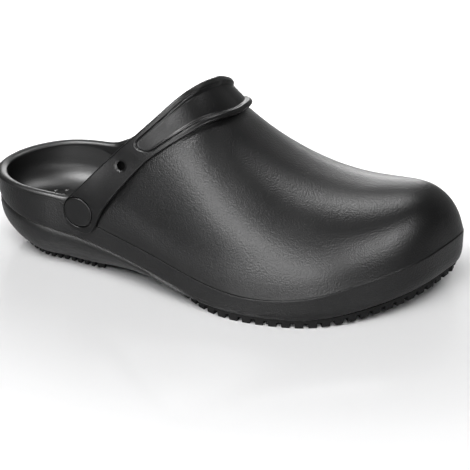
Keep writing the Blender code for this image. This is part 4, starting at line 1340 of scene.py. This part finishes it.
def make_tread(name, rear, front, inset, pitch, long, deep):
    """Rubber plate under the foam, with block lugs round its rim and inside it."""
    def low_edge(places):
        return station_value(EDGE_INSET, places) + inset

    sides = [points for _, points in sides_of(low_edge)]
    x = rear + (front - rear) * np.sin(np.linspace(0, math.pi / 2, PLATE_ROWS))
    outer, inner = (np.interp(x, side[:, 0], side[:, 1]) for side in sides)
    under = lift(x) + LUG_HIGH
    above = under + PLATE_THICK
    corners = ((outer, under), (inner, under), (inner, above), (outer, above))
    mesh_data = bmesh.new()
    loft(mesh_data, np.stack([np.column_stack([x, y, z]) for y, z in corners], axis=1))
    join_grid(mesh_data)
    fill_ends(mesh_data)

    rim = np.concatenate([np.column_stack([x, outer]), np.column_stack([x, inner])[::-1]])
    rim_length = lengths(rim)[-1]
    count = round(rim_length / pitch)
    spots = along(rim, (np.arange(count) + 0.5) * rim_length / count)
    ahead = along(rim, (np.arange(count) + 0.6) * rim_length / count) - spots
    ahead /= np.linalg.norm(ahead, axis=1, keepdims=True)
    lugs = []
    for spot, heading in zip(spots, ahead):
        lugs += add_lug(mesh_data, *spot, heading, long, deep)
    for row_x in np.arange(rear + LUG_ROW_ENDS[0], front - LUG_ROW_ENDS[1], pitch):
        low_y, high_y = (float(np.interp(row_x, side[:, 0], side[:, 1])) for side in sides)
        span = high_y - low_y - 2 * (deep + LUG_GAP)
        across = int(span // (long + LUG_GAP + LUG_ROOM))
        for k in range(across):
            y = low_y + deep + LUG_GAP + k * span / across
            lugs += add_lug(mesh_data, row_x + long / 2, y, (1.0, 0.0), long,
                            span / across - LUG_GAP)
    edges = list({edge for vert in lugs for edge in vert.link_edges})
    bmesh.ops.bevel(mesh_data, geom=edges, offset=LUG_BEVEL, segments=1, profile=0.5,
                    affect="EDGES", material=-1)
    return add_piece(name + "_rubber", mesh_data, ("tread_skin",), name, LUG_ANGLE)


column_set = Columns(COLUMNS)
make_upper(column_set)
make_sole(column_set)
make_footbed(column_set)
make_nubs()
instep_band = make_band()
for label, replaced_node, place_of in zip(("outer_button", "inner_button"),
                                          ("button_lateral", "button_medial"),
                                          button_points()):
    make_button(label, replaced_node, place_of, instep_band)
for tread in TREADS:
    make_tread(*tread)


# Studio floor: half its width in metres, colour, roughness and gloss
FLOOR_HALF = 6.0
FLOOR_COLOUR = (0.86, 0.86, 0.865)
FLOOR_ROUGH = 0.12
FLOOR_GLOSS = 0.5

# The floor is painted white away from the shoe by a glow that only the camera sees, and stays
# greyer close by: distances in metres, and the glow added
FLOOR_FADE = (0.07, 0.24)
FLOOR_PAINTED_GLOW = 0.32
FLOOR_FADE_STRETCH = 1.7


def floor_material():
    """Pale floor with a faint gloss, painted white away from the shoe by a glow that only the
    camera sees.
    """
    made = bpy.data.materials.new("studio_floor")
    made.use_nodes = True
    tree = made.node_tree
    link = tree.links.new
    shader = tree.nodes["Principled BSDF"]
    shader.inputs["Base Color"].default_value = (*FLOOR_COLOUR, 1)
    shader.inputs["Roughness"].default_value = FLOOR_ROUGH
    shader.inputs["Specular IOR Level"].default_value = FLOOR_GLOSS
    place = tree.nodes.new("ShaderNodeTexCoord")
    squeeze = node(tree, "ShaderNodeVectorMath", operation="MULTIPLY")
    squeeze.inputs[1].default_value = (1 / FLOOR_FADE_STRETCH, 1.0, 0.0)
    link(place.outputs["Object"], squeeze.inputs[0])
    away = node(tree, "ShaderNodeVectorMath", operation="LENGTH")
    link(squeeze.outputs["Vector"], away.inputs[0])
    fade = node(tree, "ShaderNodeMapRange", interpolation_type="SMOOTHSTEP")
    fade.inputs["From Min"].default_value = FLOOR_FADE[0]
    fade.inputs["From Max"].default_value = FLOOR_FADE[1]
    fade.inputs["To Min"].default_value = 0.0
    fade.inputs["To Max"].default_value = FLOOR_PAINTED_GLOW
    link(away.outputs["Value"], fade.inputs["Value"])
    # Glow seen only by the camera: painted light on the floor, none close to the shoe
    path = tree.nodes.new("ShaderNodeLightPath")
    seen = node(tree, "ShaderNodeMath", operation="MULTIPLY")
    link(fade.outputs["Result"], seen.inputs[0])
    link(path.outputs["Is Camera Ray"], seen.inputs[1])
    shader.inputs["Emission Color"].default_value = (1, 1, 1, 1)
    link(seen.outputs["Value"], shader.inputs["Emission Strength"])
    return made


def make_floor():
    """Wide pale floor that takes the soft shadow."""
    mesh_data = bmesh.new()
    bmesh.ops.create_grid(mesh_data, x_segments=1, y_segments=1, size=FLOOR_HALF)
    mesh = bpy.data.meshes.new("studio_floor")
    mesh_data.to_mesh(mesh)
    mesh_data.free()
    mesh.materials.append(floor_material())
    floor = bpy.data.objects.new("studio_floor", mesh)
    bpy.context.scene.collection.objects.link(floor)


# Soft boxes: name, place in mm from the aim, width, height in mm, watts, whether the
# box shows in gloss or else lights the floor
SOFT_BOXES = (
    ("front_strip", (80, -1340, 340), 1700, 420, 41.0, True),
    ("toe_side", (1050, -600, 560), 500, 320, 13.0, True),
    ("key_top", (-400, -600, 1000), 650, 650, 56.0, True),
    ("top_back", (170, 330, 1150), 620, 430, 14.0, True),
    ("toe_rim", (-350, 1250, 400), 900, 450, 10.5, True),
    ("floor_wash", (150, -1050, 1650), 2300, 1700, 52.0, False),
)


def make_soft_box(name, place, wide, high, watts, in_gloss):
    """One rectangular area light turned to the shoe."""
    data = bpy.data.lights.new(name, "AREA")
    data.shape = "RECTANGLE"
    data.size = wide * MM
    data.size_y = high * MM
    data.energy = watts
    box = bpy.data.objects.new(name, data)
    aim = to_frame(AIM)
    box.location = aim + MM * Vector(place)
    box.rotation_euler = (aim - box.location).to_track_quat("-Z", "Y").to_euler()
    box.visible_glossy = in_gloss
    box.visible_diffuse = not in_gloss
    bpy.context.scene.collection.objects.link(box)


# Studio air: strength in front of the shoe, behind it, and as the camera sees it, and
# between which directions it turns from one to the other
AIR_FRONT = 0.02
AIR_BEHIND = 0.45
AIR_SEEN = 1.0
AIR_TURN = (0.2, 1.0)


def make_world():
    """Studio air: dim in front and above, brighter behind, white to the camera."""
    world = bpy.data.worlds.new("studio")
    bpy.context.scene.world = world
    world.use_nodes = True
    tree = world.node_tree
    tree.nodes.clear()
    link = tree.links.new
    place = tree.nodes.new("ShaderNodeTexCoord")
    split = tree.nodes.new("ShaderNodeSeparateXYZ")
    link(place.outputs["Generated"], split.inputs["Vector"])
    dim = node(tree, "ShaderNodeMapRange", interpolation_type="SMOOTHSTEP")
    dim.inputs["From Min"].default_value = AIR_TURN[0]
    dim.inputs["From Max"].default_value = AIR_TURN[1]
    dim.inputs["To Min"].default_value = AIR_FRONT
    dim.inputs["To Max"].default_value = AIR_BEHIND
    link(split.outputs["Y"], dim.inputs["Value"])
    air = node(tree, "ShaderNodeBackground", Color=(1, 1, 1, 1))
    link(dim.outputs["Result"], air.inputs["Strength"])
    seen = node(tree, "ShaderNodeBackground", Color=(1, 1, 1, 1), Strength=AIR_SEEN)
    path = tree.nodes.new("ShaderNodeLightPath")
    mix = tree.nodes.new("ShaderNodeMixShader")
    out = tree.nodes.new("ShaderNodeOutputWorld")
    link(path.outputs["Is Camera Ray"], mix.inputs["Fac"])
    link(air.outputs["Background"], mix.inputs[1])
    link(seen.outputs["Background"], mix.inputs[2])
    link(mix.outputs["Shader"], out.inputs["Surface"])


def make_camera():
    """Camera at the photograph's angle and distance."""
    data = bpy.data.cameras.new("camera")
    data.sensor_width = SENSOR
    data.lens = PIXELS_PER_MM * CAMERA_FAR / PHOTO_SIZE * SENSOR
    data.shift_x = (PHOTO_SIZE / 2 - AXIS_PIXEL[0]) / PHOTO_SIZE
    data.shift_y = -(PHOTO_SIZE / 2 - AXIS_PIXEL[1]) / PHOTO_SIZE
    data.clip_start = 0.01
    data.clip_end = 50.0
    camera = bpy.data.objects.new("camera", data)
    turn, rise = math.radians(CAMERA_TURN), math.radians(CAMERA_RISE)
    back = Vector((math.sin(turn) * math.cos(rise), -math.cos(turn) * math.cos(rise),
                   math.sin(rise)))
    camera.location = to_frame(AIM) + back * CAMERA_FAR * MM
    camera.rotation_euler = (-back).to_track_quat("-Z", "Y").to_euler()
    bpy.context.scene.collection.objects.link(camera)
    bpy.context.scene.camera = camera


make_floor()
for soft_box in SOFT_BOXES:
    make_soft_box(*soft_box)
make_world()
make_camera()
bpy.context.scene.view_settings.view_transform = "Standard"
